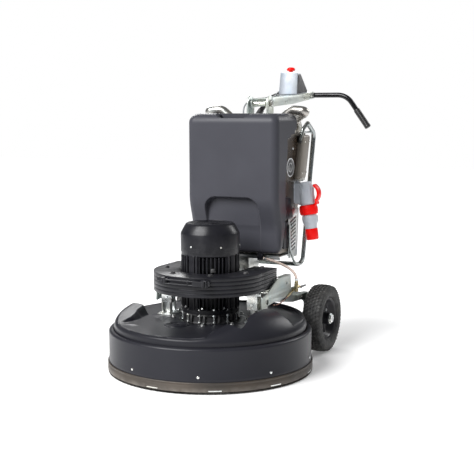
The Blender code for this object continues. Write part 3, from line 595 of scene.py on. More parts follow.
def build_studio():
    lens = bpy.data.cameras.new("camera")
    lens.sensor_width = 36.0
    lens.lens = 75.95
    lens.clip_end = 60.0
    camera = bpy.data.objects.new("camera", lens)
    bpy.context.scene.collection.objects.link(camera)
    camera.location = (1.897, HEAD_Y - 3.637, 1.07)
    camera.rotation_euler = (math.radians(82.76), 0, math.radians(26))
    bpy.context.scene.camera = camera
    scene = bpy.context.scene
    scene.view_settings.view_transform = "Standard"
    world = bpy.data.worlds.new("studio")
    scene.world = world
    world.use_nodes = True
    nodes, links = world.node_tree.nodes, world.node_tree.links
    fill = nodes["Background"]
    fill.inputs["Color"].default_value = (0.95, 0.97, 1.0, 1)
    fill.inputs["Strength"].default_value = 0.17
    white = nodes.new("ShaderNodeBackground")
    white.inputs["Color"].default_value = (1, 1, 1, 1)
    white.inputs["Strength"].default_value = 1.0
    mix = nodes.new("ShaderNodeMixShader")
    links.new(nodes.new("ShaderNodeLightPath").outputs["Is Camera Ray"], mix.inputs["Fac"])
    links.new(fill.outputs["Background"], mix.inputs[1])
    links.new(white.outputs["Background"], mix.inputs[2])
    links.new(mix.outputs["Shader"], nodes["World Output"].inputs["Surface"])
    sun = bpy.data.lights.new("key", "SUN")
    sun.energy = 4.4
    sun.angle = math.radians(38)
    holder = bpy.data.objects.new("key", sun)
    scene.collection.objects.link(holder)
    holder.matrix_world = placed(Vector((0, 0, 4)), Vector((-0.32, -0.80, 0.72)))
    area_light("strip", (-1.7, -2.3, 2.6), (0, -0.1, 0.5), (0.7, 2.2), 24)
    area_light("rear", (1.6, 2.6, 2.2), (0, 0.2, 0.5), (1.4, 1.4), 36)
    area_light("rim", (-1.9, 2.1, 2.4), (0, -0.3, 0.3), (1.2, 0.8), 34)
    shape = bmesh.new()
    bmesh.ops.create_grid(shape, x_segments=4, y_segments=4, size=14)
    mesh = bpy.data.meshes.new("floor")
    shape.to_mesh(mesh)
    shape.free()
    floor = bpy.data.objects.new("floor", mesh)
    bpy.context.scene.collection.objects.link(floor)
    floor.location.z = -0.0005
    pale = Paint("pale_floor", (0.93, 0.93, 0.93), 0.8, Emission_Color=(1, 1, 1, 1), Emission_Strength=0.16)
    pale = pale.mottled((0.91, 0.91, 0.91), 2.0).done(0.03, 3.0, 0.02, 90.0)
    mesh.materials.append(pale)


build_studio()


# --- cords ----------------------------------------------------------------------------------------
VALVE = (0.262, 0.300, 0.315)
HOSE_R = 0.006
CABLE_R = 0.0035
HOSE_ROUTE = [
    (0.1300, 0.2425, 0.4366),
    (0.1360, 0.2443, 0.4354),
    (0.1428, 0.2481, 0.4338),
    (0.1565, 0.2541, 0.4297),
    (0.1703, 0.2601, 0.4252),
    (0.1841, 0.2661, 0.4202),
    (0.1960, 0.2713, 0.4148),
    (0.2070, 0.2761, 0.4092),
    (0.2162, 0.2800, 0.4040),
    (0.2253, 0.2840, 0.3982),
    (0.2336, 0.2876, 0.3925),
    (0.2405, 0.2906, 0.3866),
    (0.2472, 0.2936, 0.3800),
    (0.2552, 0.2970, 0.3690),
    (0.2603, 0.2992, 0.3560),
    (0.2620, 0.3000, 0.3450),
    (0.2620, 0.3000, 0.3383),
]
CABLE_ROUTE = [
    (-0.085, 0.500, 0.9703),
    (-0.088, 0.502, 1.030),
    (-0.092, 0.510, 1.072),
    (-0.090, 0.535, 1.100),
    (-0.082, 0.575, 1.111),
    (-0.074, 0.620, 1.109),
    (-0.068, 0.670, 1.106),
    (-0.065, 0.720, 1.109),
    (-0.065, 0.770, 1.118),
    (-0.068, 0.810, 1.133),
    (-0.072, 0.838, 1.147),
    (-0.071, 0.858, 1.156),
    (-0.064, 0.870, 1.1595),
    (-0.054, 0.874, 1.160),
    (-0.0446, 0.8745, 1.160),
]


def build_hose():
    path = [at(*p) for p in smooth(HOSE_ROUTE, HOSE_R)]
    shape = bmesh.new()
    tube(shape, path, HOSE_R, 20)
    hose = piece("tank_to_valve_hose", shape, HOSE, "chassis", ["water_hose"], 60)
    clips = bmesh.new()
    for near, beyond in ((path[3], path[4]), (path[-3], path[-4])):
        turned(
            clips,
            [(HOSE_R, -0.0035), (HOSE_R + 0.0012, -0.0035), (HOSE_R + 0.0012, 0.0035), (HOSE_R, 0.0035)],
            placed(near, beyond - near),
            24,
        )
        bolt(clips, near + Vector((0, -HOSE_R - 0.0008, 0)), -ALONG_Y, 0.0022, 0.003, washer=False)
    clips = piece("hose_clips", clips, BRIGHT, "chassis")


def build_cable():
    path = [at(*p) for p in smooth(CABLE_ROUTE, 2 * CABLE_R)]
    shape = bmesh.new()
    tube(shape, path, CABLE_R, 14)
    cable = piece("handle_control_cable", shape, CABLE, None, ["control_cable"], 60)
    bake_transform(cable)
    for name, body, tip, base in (
        ("cable_gland", "chassis", path[4], path[0]),
        ("pod_gland", "handle", path[-5], path[-1]),
    ):
        gland = bmesh.new()
        run = tip - base
        for k, (near, far, radius) in enumerate(((0, 0.28, 0.0085), (0.28, 0.5, 0.0072), (0.5, 1.0, 0.0058))):
            ends = (base + run * near, base + run * far)
            rod(gland, ends[0], ends[1], radius, 6 if k == 0 else 24, 0.0006, radius if k < 2 else 0.0042)
        piece(name, gland, RUBBER, body)


build_hose()
build_cable()


# --- head -----------------------------------------------------------------------------------------
FLOOR_Z = 0.208
HOOD_R = 0.400
HOOD_LOW = 0.060
MOTOR_R = 0.121
PORT = (-0.062, -0.177)
CREASE = 0.010


def eased(t):
    t = min(1.0, max(0.0, t))
    return t * t * (3 - 2 * t)


def dome(radius):
    """Height of the hood's shoulder at a radius."""
    inward = min(1.0, max(0.0, (HOOD_R - radius) / 0.145))
    return 0.194 + 0.088 * (1 - (1 - inward) ** 2.2) ** 0.72


def lower_of(one, two):
    """The lower of two heights, with a soft crease between them."""
    share = max(CREASE - abs(one - two), 0.0) / CREASE
    return min(one, two) - share * share * CREASE / 4


def recess_edge(angle):
    """How far the sunken middle reaches from the head's axis, at an angle in the plan."""
    half = [(0.100, -0.46), (0.100, -0.365), (0.205, -0.215), (0.256, -0.110), (0.264, -0.030), (0.264, 0.46)]
    across, along = abs(math.cos(angle)), math.sin(angle)
    reach = HOOD_R
    for (x1, y1), (x2, y2) in zip(half, half[1:]):
        turn = across * (y2 - y1) - along * (x2 - x1)
        if abs(turn) < 1e-9:
            continue
        far = (x1 * (y2 - y1) - y1 * (x2 - x1)) / turn
        share = (x1 * along - y1 * across) / -turn
        if far > 0 and -1e-6 <= share <= 1 + 1e-6:
            reach = min(reach, far)
    return reach


def hood_height(radius, angle, edge, width):
    """Height of the hood: sunken floor with a rolled rim, and lobes that climb from the front."""
    roll = max(0.0, 1 - (max(0.0, radius - 0.383) / 0.017) ** 2)
    floor = FLOOR_Z - 0.014 * (1 - math.sqrt(roll))
    along = radius * math.sin(angle)
    left, right = FLOOR_Z + 0.19 * (along + 0.27), FLOOR_Z + 0.30 * (along + 0.37)
    slope = left + (right - left) * eased(radius * math.cos(angle) / 0.12 + 0.5)
    lobe = max(floor, lower_of(dome(radius), slope))
    return floor + (lobe - floor) * eased((radius - edge) / width)


def build_hood():
    steps = 420
    turns = [math.tau * i / steps for i in range(steps)]
    edges = np.array([recess_edge(a) for a in turns])
    soft = np.exp(-(np.arange(-8, 9) / 3.2) ** 2)
    edges = np.convolve(np.concatenate([edges[-8:], edges, edges[:8]]), soft / soft.sum(), "valid")
    loops = [[] for _ in range(47)]
    for angle, edge in zip(turns, edges):
        leftness = eased((-math.cos(angle) + 0.15) / 0.5)
        width = 0.007 + 0.024 * leftness
        edge = min(edge, 0.380)
        stops = list(np.linspace(MOTOR_R, edge - 0.004, 10)) + list(np.linspace(edge, edge + width, 12))
        last = min(max(edge + width + 0.002, 0.370), 0.384)
        stops += list(np.linspace(edge + width + 0.001, last, 8)) + list(np.linspace(last, HOOD_R, 13))[1:]
        stops = [min(s, HOOD_R - 0.0003 * (41 - i)) if i < 41 else HOOD_R for i, s in enumerate(stops)]
        heights = [hood_height(s, angle, edge, width) for s in stops]
        stops += [HOOD_R, HOOD_R, HOOD_R - 0.004, HOOD_R - 0.004, HOOD_R - 0.012]
        heights += [0.190, HOOD_LOW, HOOD_LOW, 0.186, 0.186]
        for loop, radius, z in zip(loops, stops, heights):
            loop.append(at(radius * math.cos(angle), radius * math.sin(angle), z))
    shape = bmesh.new()
    rings(shape, loops, caps=False)
    hood = piece("hood_shell", shape, BLACK, "head", ["hood"], 50)
    thick = hood.modifiers.new("thickness", "SOLIDIFY")
    thick.thickness = 0.0025
    thick.offset = -1
    ridge = bmesh.new()
    centre = at(*PORT, FLOOR_Z)
    turned(ridge, [(0.040, -0.001), (0.052, -0.001), (0.0505, 0.0022), (0.0475, 0.0034), (0.0415, 0.0034),
                   (0.040, 0.002)],
           Matrix.Translation(centre), 64)
    piece("port_ring", ridge, BLACK, "head")
    cap = bmesh.new()
    steps = [(0.0385, 0.0004), (0.0385, 0.0030), (0.0370, 0.0040), (0.0330, 0.0040), (0.0325, 0.0020),
             (0.0290, 0.0020),
             (0.0285, 0.0038), (0.0255, 0.0038), (0.0250, 0.0016), (0.0120, 0.0012), (0.0115, 0.0036),
             (0, 0.0040)]
    turned(cap, [(0, 0.0004)] + steps, Matrix.Translation(centre), 64)
    box(cap, (PORT[0] - 0.022, PORT[1] - 0.0028, FLOOR_Z + 0.001),
        (PORT[0] + 0.022, PORT[1] + 0.0028, FLOOR_Z + 0.0044))
    piece("port_cap_disc", cap, BLACK, "port_cap", ["hood_port_cap"])


def build_platforms():
    """Raised pads of the hood under the posts."""
    shape = bmesh.new()
    pad = [(-0.262, -0.050), (-0.165, -0.125), (-0.150, 0.060), (-0.262, 0.095)]
    pad = rounded(pad, 0.022)
    plate(shape, [pad], 0.004, Matrix.Translation((0, HEAD_Y, FLOOR_Z - 0.0012)), 0.0015)
    pad = rounded([(0.155, -0.070), (0.262, -0.050), (0.262, 0.095), (0.150, 0.060)], 0.022)
    plate(shape, [pad], 0.004, Matrix.Translation((0, HEAD_Y, FLOOR_Z - 0.0012)), 0.0015)
    piece("hood_pads", shape, SKIRT_BLACK, "head")


def build_skirt():
    low, high = span("skirt_shell")
    radius, top = high.x, high.z
    shape = bmesh.new()
    shoulder = arc(radius - 0.011, top - 0.011, 0.011, 0, 90, 8)
    wall = [(radius, 0.0460), (radius + 0.0006, 0.052), (radius + 0.0006, 0.058), (radius - 0.0006, 0.062)]
    inner = [(0.4035, top), (0.4035, top - 0.004), (radius - 0.010, top - 0.004),
             (radius - 0.0045, top - 0.014)]
    turned(shape, wall + shoulder + inner + [(radius - 0.0045, low.z), (radius, low.z)], PLAN, 256)
    piece("skirt_wall", shape, SKIRT_BLACK, "skirt", ["skirt_shell"], 40)
    screws = bmesh.new()
    for k in range(9):
        turn = math.radians(-69 + 40 * k)
        out = Vector((math.cos(turn), math.sin(turn), 0))
        turned(screws, [(0, 0), (0.0055, 0), (0.0052, 0.0016), (0.0030, 0.0026), (0, 0.0028)],
               placed(at(0, 0, 0.067) + out * (radius - 0.0004), out), 20)
    piece("skirt_screws", screws, BRIGHT, "skirt")


def build_band():
    radius = span("skirt_band")[1].x
    shape = bmesh.new()
    outer = [(radius, 0.0105), (radius, 0.0345), (radius - 0.0010, 0.0365), (radius - 0.0010, 0.0395)]
    outer += [(radius, 0.0410), (radius, 0.0445), (radius - 0.0012, 0.0460), (radius - 0.0050, 0.0460)]
    inner = [(radius - 0.0052, 0.0120), (radius - 0.0110, 0.0115), (radius - 0.0110, 0.0095),
             (radius - 0.0015, 0.0095)]
    turned(shape, outer + inner, PLAN, 256)
    piece("rubber_band", shape, BAND, "skirt", ["skirt_band"], 40)
    clips = bmesh.new()
    for k in range(10):
        first = math.radians(-97.7 + 34 * k)
        loops = []
        for i in range(13):
            turn = first + math.radians(6.8) * i / 12
            out = Vector((math.cos(turn), math.sin(turn), 0))
            inside, outside = at(0, 0, 0) + out * (radius - 0.0006), at(0, 0, 0) + out * (radius + 0.0008)
            loops.append([inside + UP * 0.0135, outside + UP * 0.0135, outside + UP * 0.0170,
                          inside + UP * 0.0170])
        rings(clips, loops)
    piece("band_clips", clips, BRIGHT, "skirt")
    brush = bmesh.new()
    count = 1500
    for k in range(count):
        turn = math.tau * k / count
        out, along = Vector((math.cos(turn), math.sin(turn), 0)), Vector((-math.sin(turn), math.cos(turn), 0))
        wave = math.sin(k * 12.9898) * 0.5 + math.sin(k * 4.137) * 0.5
        root = at(0, 0, 0.0110) + out * (radius - 0.0045)
        tip = at(0, 0, 0.0005 + 0.0012 * abs(wave))
        tip = tip + out * (radius - 0.0045 + 0.0022 * wave) + along * 0.0009 * wave
        rings(brush, [
            [root + out * 0.0040, root - out * 0.0040 + along * 0.0009, root - out * 0.0040 - along * 0.0009],
            [tip + out * 0.0014, tip - out * 0.0014 + along * 0.0007, tip - out * 0.0014 - along * 0.0007],
        ])
    piece("floor_brush", brush, BRISTLE, "skirt")


def build_head_plate():
    shape = bmesh.new()
    profile = [
        (0.032, 0.1502), (0.376, 0.1502), (0.376, 0.1615), (0.140, 0.1645), (0.122, 0.170), (0.115, 0.180),
        (0.113, 0.205), (0.108, 0.212), (0.107, 0.234), (0.1160, 0.2385), (0.1170, 0.2446), (0.100, 0.2446),
        (0.100, 0.172),
        (0.032, 0.172),
    ]
    turned(shape, profile, PLAN, 96)
    for k in range(12):
        turn = math.tau * (k + 0.5) / 12
        matrix = PLAN @ Matrix.Rotation(turn, 4, "Z")
        box(shape, (0.100, -0.004, 0.2085), (0.1175, 0.004, 0.2425), 0.002, matrix)
    piece("cast_head_plate", shape, CAST, "head", ["head_plate"])
    studs = bmesh.new()
    for k in range(12):
        turn = math.tau * k / 12 + math.radians(5)
        foot = at(0.1150 * math.cos(turn), 0.1150 * math.sin(turn), 0.2085)
        rod(studs, foot, foot + UP * 0.062, 0.0034, 12, 0.0008)
        for lift in (0.002, 0.029, 0.0535):
            bolt(studs, foot + UP * lift, UP, 0.0062, 0.005)
    for k in range(8):
        turn = math.tau * (k + 0.35) / 8
        foot = at(0.158 * math.cos(turn), 0.158 * math.sin(turn), FLOOR_Z)
        if math.hypot(foot.x - PORT[0], foot.y - HEAD_Y - PORT[1]) > 0.062:
            bolt(studs, foot, UP, 0.0075, 0.007, socket=True, sides=20)
    piece("base_studs", studs, BRIGHT, "head")


def fin_outline(count, root, tip, share):
    points = []
    for i in range(count):
        for part, radius in ((0.0, root), (0.06, tip - 0.001), (0.14, tip), (share - 0.08, tip),
                             (share, tip - 0.001), (share + 0.06, root)):
            angle = math.tau * (i + part) / count
            points.append((radius * math.cos(angle), radius * math.sin(angle)))
    return points


def build_motor():
    low, high = span("motor_housing")
    shape = bmesh.new()
    base, top = low.z, high.z
    flange = [(0.095, base), (MOTOR_R - 0.001, base), (MOTOR_R, base + 0.001), (MOTOR_R, base + 0.016)]
    flange += [(MOTOR_R - 0.002, base + 0.019), (0.108, base + 0.024), (0.095, base + 0.024)]
    turned(shape, flange, PLAN, 96)
    crown = [(0.095, top - 0.020), (0.108, top - 0.020), (MOTOR_R - 0.003, top - 0.014),
             (MOTOR_R - 0.001, top - 0.012)]
    crown += [(MOTOR_R - 0.001, top), (0.095, top)]
    turned(shape, crown, PLAN, 96)
    height = top - base - 0.030
    place = Matrix.Translation((0, HEAD_Y, (top + base) / 2))
    plate(shape, [fin_outline(46, 0.1035, MOTOR_R, 0.34), circle(0.095, steps=48)], height, place, 0.0004)
    for turn in (-12, 78, 168, 258):
        matrix = PLAN @ Matrix.Rotation(math.radians(turn), 4, "Z")
        box(shape, (0.098, -0.014, base + 0.012), (MOTOR_R - 0.0004, 0.014, top - 0.008), 0.003, matrix)
        for side in (-0.026, 0.026):
            box(shape, (0.098, side - 0.0045, base + 0.012), (MOTOR_R - 0.0004, side + 0.0045, top - 0.008),
                0.002, matrix)
    piece("finned_motor", shape, PAINT, "head", ["motor_housing"], 28)
    lugs = bmesh.new()
    for k in range(4):
        matrix = PLAN @ Matrix.Rotation(math.radians(33 + 90 * k), 4, "Z")
        box(lugs, (0.108, -0.010, 0.418), (0.1232, 0.010, 0.434), 0.003, matrix)
    piece("motor_lugs", lugs, CAST, "head")
    nuts = bmesh.new()
    for k in range(8):
        turn = math.radians(11 + 45 * k)
        bolt(nuts, at(0.1135 * math.cos(turn), 0.1135 * math.sin(turn), base + 0.0225), UP, 0.0058, 0.005)
    piece("flange_nuts", nuts, BRIGHT, "head")


def build_fan_cover():
    low, high = span("motor_fan_cover")
    radius, top = high.x, high.z
    outer = [(radius, low.z), (radius, 0.566), (radius - 0.0018, 0.572), (0.1040, 0.602), (0.1005, 0.6065),
             (0.0950, top)]
    lid = [(0.0905, top), (0.0895, top - 0.0022), (0.0300, top - 0.0022), (0.0285, top - 0.0004),
           (0, top - 0.0002)]
    inner = [(0, top - 0.0034), (0.0930, top - 0.0034), (0.1020, 0.599), (radius - 0.0040, 0.569),
             (radius - 0.0025, 0.564)]
    shape = bmesh.new()
    turned(shape, outer + lid + inner + [(radius - 0.0025, low.z)], PLAN, 128)
    for k in range(6):
        step = 0.036 + 0.0095 * k
        turned(shape, [(step, top - 0.0024), (step, top - 0.0004), (step + 0.0042, top - 0.0004),
                       (step + 0.0042, top - 0.0024)],
               PLAN, 96)
    for k in range(6):
        matrix = PLAN @ Matrix.Rotation(math.tau * k / 6, 4, "Z")
        box(shape, (0.026, -0.004, top - 0.0024), (0.092, 0.004, top - 0.0002), 0.0004, matrix)
    for k in range(3):
        z = low.z + 0.004 + 0.006 * k
        turned(shape, [(radius - 0.001, z), (radius + 0.0005, z + 0.0008), (radius + 0.0005, z + 0.0022),
                       (radius - 0.001, z + 0.003)],
               PLAN, 96)
    piece("fan_cowl", shape, PAINT, "head", ["motor_fan_cover"], 25)
    screws = bmesh.new()
    for k in range(6):
        turn = math.radians(-102 + 60 * k)
        out = Vector((math.cos(turn), math.sin(turn), 0))
        turned(screws, [(0, 0), (0.0040, 0), (0.0038, 0.0016), (0.0022, 0.0024), (0, 0.0026)],
               placed(at(0, 0, 0.520) + out * (radius - 0.0003), out), 18)
    piece("cowl_screws", screws, BRIGHT, "head")


BALLAST_BORE = 0.130
BALLAST_LOW = 0.335
LAYER_PITCH = 0.0161
LAYER_THICK = 0.0158
BALLAST_ARM_X = 0.1835


def build_ballast():
    inner = arc(0, 0, BALLAST_BORE, 360, 180, 48)
    for i in range(1, 6):
        high = span(f"ballast_plate_{i}")[1]
        z_low = BALLAST_LOW + (i - 1) * LAYER_PITCH
        z_high = z_low + LAYER_THICK
        radius = high.x
        end = high.y
        outer = arc(0, 0, radius, 180, 360, 72)
        right = rounded([(radius, 0.0), (radius, end), (BALLAST_BORE, end), (BALLAST_BORE, 0.0)], 0.004)
        outline = outer + [p for p in right if p[1] > 0.001] + [p for p in inner if p[1] < 0.001]
        left = rounded([(-BALLAST_BORE, 0.0), (-BALLAST_BORE, end), (-radius, end), (-radius, 0.0)], 0.004)
        outline += [p for p in left if p[1] > 0.001]
        shape = bmesh.new()
        matrix = Matrix.Translation((0, HEAD_Y, (z_low + z_high) / 2))
        plate(shape, [outline], z_high - z_low, matrix, 0.0016)
        for sign in (-1, 1):
            for k in range(2):
                z = z_low + 0.0079 * k
                box(shape, (sign * BALLAST_ARM_X - 0.052, 0.022, z + 0.0006),
                    (sign * BALLAST_ARM_X + 0.052, end + 0.0012, z + 0.0073), 0.0006)
        if i == 5:
            box(shape, (-0.118, -0.236, z_low - 0.004), (-0.106, -0.226, z_high - 0.006), 0.002)
        piece(f"ballast_layer_{i}", shape, PAINT, "ballast", [f"ballast_plate_{i}"], 28)
    hardware = bmesh.new()
    for x, y in ((-0.182, -0.040), (0.182, -0.040), (-0.182, 0.120), (0.182, 0.120), (-0.085, -0.165),
                 (0.085, -0.165)):
        bolt(hardware, at(x, y, 0.4152), UP, 0.0085, 0.0055, 20, socket=True)
    piece("ballast_bolts", hardware, CAST, "ballast")
    build_sleeves()
    build_latch()


def build_sleeves():
    """Zinc U-channels that hang from the ballast around the posts."""
    for side, sign in SIDES:
        shape = bmesh.new()
        outline = [(-0.023, -0.019), (0.023, -0.019), (0.023, 0.019), (0.0195, 0.019)]
        outline += [(0.0195, -0.0155), (-0.0195, -0.0155), (-0.0195, 0.019), (-0.023, 0.019)]
        plate(shape, [outline], 0.074, Matrix.Translation((sign * 0.200, HEAD_Y, 0.2985)), 0.0008)
        rod(shape, at(sign * 0.200, -0.019, 0.284), at(sign * 0.200, -0.0225, 0.284), 0.006, 20, 0.001)
        box(shape, (sign * 0.222, -0.017, 0.3195), (sign * 0.222 + 0.016, -0.0145, 0.3300), 0.0008)
        piece("post_sleeve_" + side, shape, BRIGHT, "ballast")


def build_latch():
    z = 0.396
    fixed = bmesh.new()
    for x, width in ((0.097, 0.012), (-0.089, 0.010)):
        box(fixed, (x - width, -0.2455, z - 0.0145), (x + width, -0.222, z + 0.0145), 0.003)
        box(fixed, (x - width - 0.008, -0.2365, z - 0.010), (x + width + 0.008, -0.222, z + 0.010), 0.002)
        bolt(fixed, at(x, -0.2455, z), -ALONG_Y, 0.0045, 0.003, washer=False)
    piece("latch_blocks", fixed, PAINT, "ballast")
    bars = bmesh.new()
    for lift in (-0.0078, 0.0078):
        tube(bars, [at(-0.076, -0.2500, z + lift), at(0.060, -0.2512, z + lift),
                    at(0.090, -0.2505, z + lift)], 0.0030, 12)
    rod(bars, at(-0.074, -0.2500, z - 0.0105), at(-0.074, -0.2500, z + 0.0105), 0.0040, 16, 0.001)
    rod(bars, at(0.097, -0.2505, z - 0.0135), at(0.097, -0.2505, z + 0.0135), 0.0058, 20, 0.0012)
    rod(bars, at(0.030, -0.2510, z - 0.0095), at(0.030, -0.2510, z + 0.0095), 0.0034, 14, 0.001)
    outline = rounded([(0.050, -0.0115), (0.097, -0.0095), (0.097, 0.0095), (0.050, 0.0115)], 0.004)
    plate(bars, [outline], 0.0028, FRONT_VIEW @ Matrix.Translation((0, z, 0.2525)), 0.0008)
    piece("latch_bars", bars, PAINT, "latch", ["latch_lever"])


def build_posts():
    for side, sign in SIDES:
        shape = bmesh.new()
        inner, outer = sorted((sign * 0.1705, sign * 0.2375))
        box(shape, (inner, -0.034, FLOOR_Z + 0.0006), (outer, 0.074, FLOOR_Z + 0.0062), 0.001)
        x = sign * 0.200
        box(shape, (x - 0.0118, -0.0098, FLOOR_Z + 0.004), (x + 0.0118, 0.0098, 0.3285), 0.0016)
        lug = [(0.0, 0.210), (0.0, 0.285)] + arc(0.030, 0.290, 0.026, 180, 0, 16) + [(0.056, 0.210)]
        side_plate(shape, [lug, circle(0.0098, 0.030, 0.290, 24)], sign * 0.233, 0.0068)
        box(shape, (sign * 0.212 - 0.0195, 0.046, FLOOR_Z + 0.005), (sign * 0.212 + 0.0195, 0.050, 0.262),
            0.001)
        piece("post_" + side + "_bracket", shape, ZINC, "head", ["post_" + side])
        bolts = bmesh.new()
        for px, py in ((0.184, -0.022), (0.219, -0.022), (0.184, 0.060), (0.219, 0.062)):
            bolt(bolts, at(sign * px, py, FLOOR_Z + 0.0062), UP, 0.0068, 0.006)
        piece("post_bolts_" + side, bolts, BRIGHT, "head")


build_hood()
build_platforms()
build_skirt()
build_band()
build_head_plate()
build_motor()
build_fan_cover()
build_ballast()
build_posts()


# --- water tank -----------------------------------------------------------------------------------
TANK_X = 0.214
TANK_FRONT = 0.187
TANK_BASE = 0.460
TANK_TOP = 1.055


def tank_back(z):
    return 0.262 + LEAN * (z - TANK_BASE)


def tank_front(z):
    """The front bellies out above the motor."""
    return TANK_FRONT + 0.033 * eased((0.700 - z) / 0.155)


def arch_depth(x, z):
    """How far the arched recess sets the tank's front back at a place on it."""
    corner = 0.058
    over_x = abs(x) - (0.130 - corner)
    over_z = z - (0.701 - corner)
    outside = math.hypot(max(over_x, 0), max(over_z, 0)) + min(max(over_x, over_z), 0) - corner
    step = eased(-outside / 0.010)
    groove = math.exp(-(((outside + 0.006) / 0.004) ** 2))
    return max(0.219 - tank_front(z), 0.003) * step + 0.0018 * groove


def scoop_depth(y, z):
    """How far the tank's flank is drawn in behind its scooped rear edge."""
    if not 0.600 < z < 0.985:
        return 0.0
    edge = 0.287 + 0.020 * eased((z - 0.72) / 0.20)
    edge += 0.16 * eased((z - 0.945) / 0.035) ** 2 + 0.03 * eased((0.66 - z) / 0.05)
    return 0.0165 * eased((y - edge) / 0.007)


def tank_ring(z):
    """The tank's plan at a height: bowed front, wide soft front corners, tighter rear ones."""
    up, down = TANK_TOP - z, z - TANK_BASE
    inset_top = 0.042 - math.sqrt(max(0.0, 0.042**2 - max(0.0, 0.042 - up) ** 2))
    side_top = 0.036 - math.sqrt(max(0.0, 0.036**2 - max(0.0, 0.036 - up) ** 2))
    low_corner = 0.034 - math.sqrt(max(0.0, 0.034**2 - max(0.0, 0.034 - down) ** 2))
    low_front = 0.014 - math.sqrt(max(0.0, 0.014**2 - max(0.0, 0.014 - down) ** 2))
    half = TANK_X - side_top - low_corner
    front = tank_front(z) + inset_top + low_front
    brow = tank_back(0.979) + (0.419 - tank_back(0.979)) * eased((z - 0.979) / 0.014)
    back = (brow if z > 0.979 else tank_back(z)) - side_top * 0.4
    depth = max(0.016, back - front)
    back = front + depth
    r_front = min(0.036, depth * 0.46)
    r_back = min(0.014, depth * 0.3)
    points = []
    wide = half - r_front
    count = 150
    for i in range(count + 1):
        x = -wide + 2 * wide * i / count
        y = front + 0.007 * (x / half) ** 2 + arch_depth(x, z)
        points.append((x, y))
    bow = 0.007 * (wide / half) ** 2
    for i in range(1, 14):
        a = math.radians(-90 + 90 * i / 13)
        points.append((wide + r_front * math.cos(a),
                       front + bow * (1 - i / 13) + r_front + r_front * math.sin(a)))
    flank = 44
    start, end = front + r_front, back - r_back
    for i in range(1, flank):
        y = start + (end - start) * i / flank
        points.append((half - scoop_depth(y, z), y))
    drawn = scoop_depth(end, z)
    for i in range(0, 6):
        a = math.radians(90 * i / 5)
        points.append((half - drawn - r_back + r_back * math.cos(a), back - r_back + r_back * math.sin(a)))
    rear_x = half - drawn - r_back
    for i in range(1, 20):
        points.append((rear_x - 2 * rear_x * i / 20, back))
    for i in range(0, 6):
        a = math.radians(90 + 90 * i / 5)
        points.append((-half + drawn + r_back + r_back * math.cos(a), back - r_back + r_back * math.sin(a)))
    for i in range(1, flank):
        y = end + (start - end) * i / flank
        points.append((-half + scoop_depth(y, z), y))
    for i in range(0, 13):
        a = math.radians(180 + 90 * i / 13)
        points.append((-wide + r_front * math.cos(a),
                       front + bow * (i / 13) + r_front + r_front * math.sin(a)))
    return [at(x, y, z) for x, y in points]


def build_tank():
    levels = [TANK_BASE + 0.034 * (1 - math.cos(math.pi / 2 * i / 9)) for i in range(9)]
    levels += list(np.linspace(TANK_BASE + 0.034, TANK_TOP - 0.042, 196))
    levels += [TANK_TOP - 0.042 + 0.042 * math.sin(math.pi / 2 * i / 14) for i in range(1, 15)]
    shape = bmesh.new()
    rings(shape, [tank_ring(z) for z in levels])
    tank = piece("tank_shell", shape, TANK_BLACK, "chassis", ["water_tank"], 45)
    cutter = bmesh.new()
    outline = rounded([(-0.060, 1.035), (0.060, 1.035), (0.088, 1.0570), (0.088, 1.09), (-0.088, 1.09),
                       (-0.088, 1.0570)], 0.010)
    plate(cutter, [outline], 0.100, FRONT_VIEW @ Matrix.Translation((0, 0, -0.2120)), 0.002)
    carve(tank, cutter)
    cutter = bmesh.new()
    box(cutter, (-0.076, 0.2240, 1.022), (0.076, 0.2620, 1.09), 0.008)
    carve(tank, cutter)
    cutter = bmesh.new()
    box(cutter, (0.076, 0.301, 1.0394), (0.164, 0.389, 1.09), 0.010)
    carve(tank, cutter)
    fittings = bmesh.new()
    box(fittings, (0.106, 0.232, 0.4285), (0.1282, 0.252, TANK_BASE + 0.004), 0.003)
    for i in range(3):
        rod(fittings, at(0.128, 0.2418, 0.4368), at(0.1294, 0.2424, 0.4367), 0.0078, 24, 0.0005)
    neck = [(0.0262, 1.030), (0.0335, 1.030), (0.0335, 1.0392), (0.0320, 1.0402), (0.0280, 1.0402),
            (0.0262, 1.0390)]
    turned(fittings, neck, Matrix.Translation((0.120, HEAD_Y + 0.345, 0)), 48)
    piece("tank_fittings", fittings, BLACK, "chassis")
    cap = bmesh.new()
    top = span("tank_cap")[1].z
    matrix = Matrix.Translation((0.120, HEAD_Y + 0.345, 0))
    cap_profile = [(0, top - 0.0140), (0.0305, top - 0.0136), (0.0315, top - 0.0128),
                   (0.0315, top - 0.0018),
                   (0.0300, top), (0.0180, top), (0.0170, top - 0.0014), (0, top - 0.0016)]
    turned(cap, cap_profile, matrix, 72)
    for k in range(24):
        box(cap, (0.0300, -0.0018, top - 0.0128), (0.0338, 0.0018, top - 0.0022), 0.0007,
            matrix @ Matrix.Rotation(math.tau * k / 24, 4, "Z"))
    box(cap, (-0.015, -0.0035, top - 0.0022), (0.015, 0.0035, top + 0.0006), 0.0012, matrix)
    piece("tank_filler_cap", cap, SKIRT_BLACK, "filler_cap", ["tank_cap"])


# --- cabinet --------------------------------------------------------------------------------------
CABINET_X = 0.192


def leaning(front, back, low, high):
    """A leaning outline in (y, z), its edges given as distances behind the tank's back."""
    return [
        (tank_back(low) + front, low),
        (tank_back(low) + back, low),
        (tank_back(high) + back, high),
        (tank_back(high) + front, high),
    ]


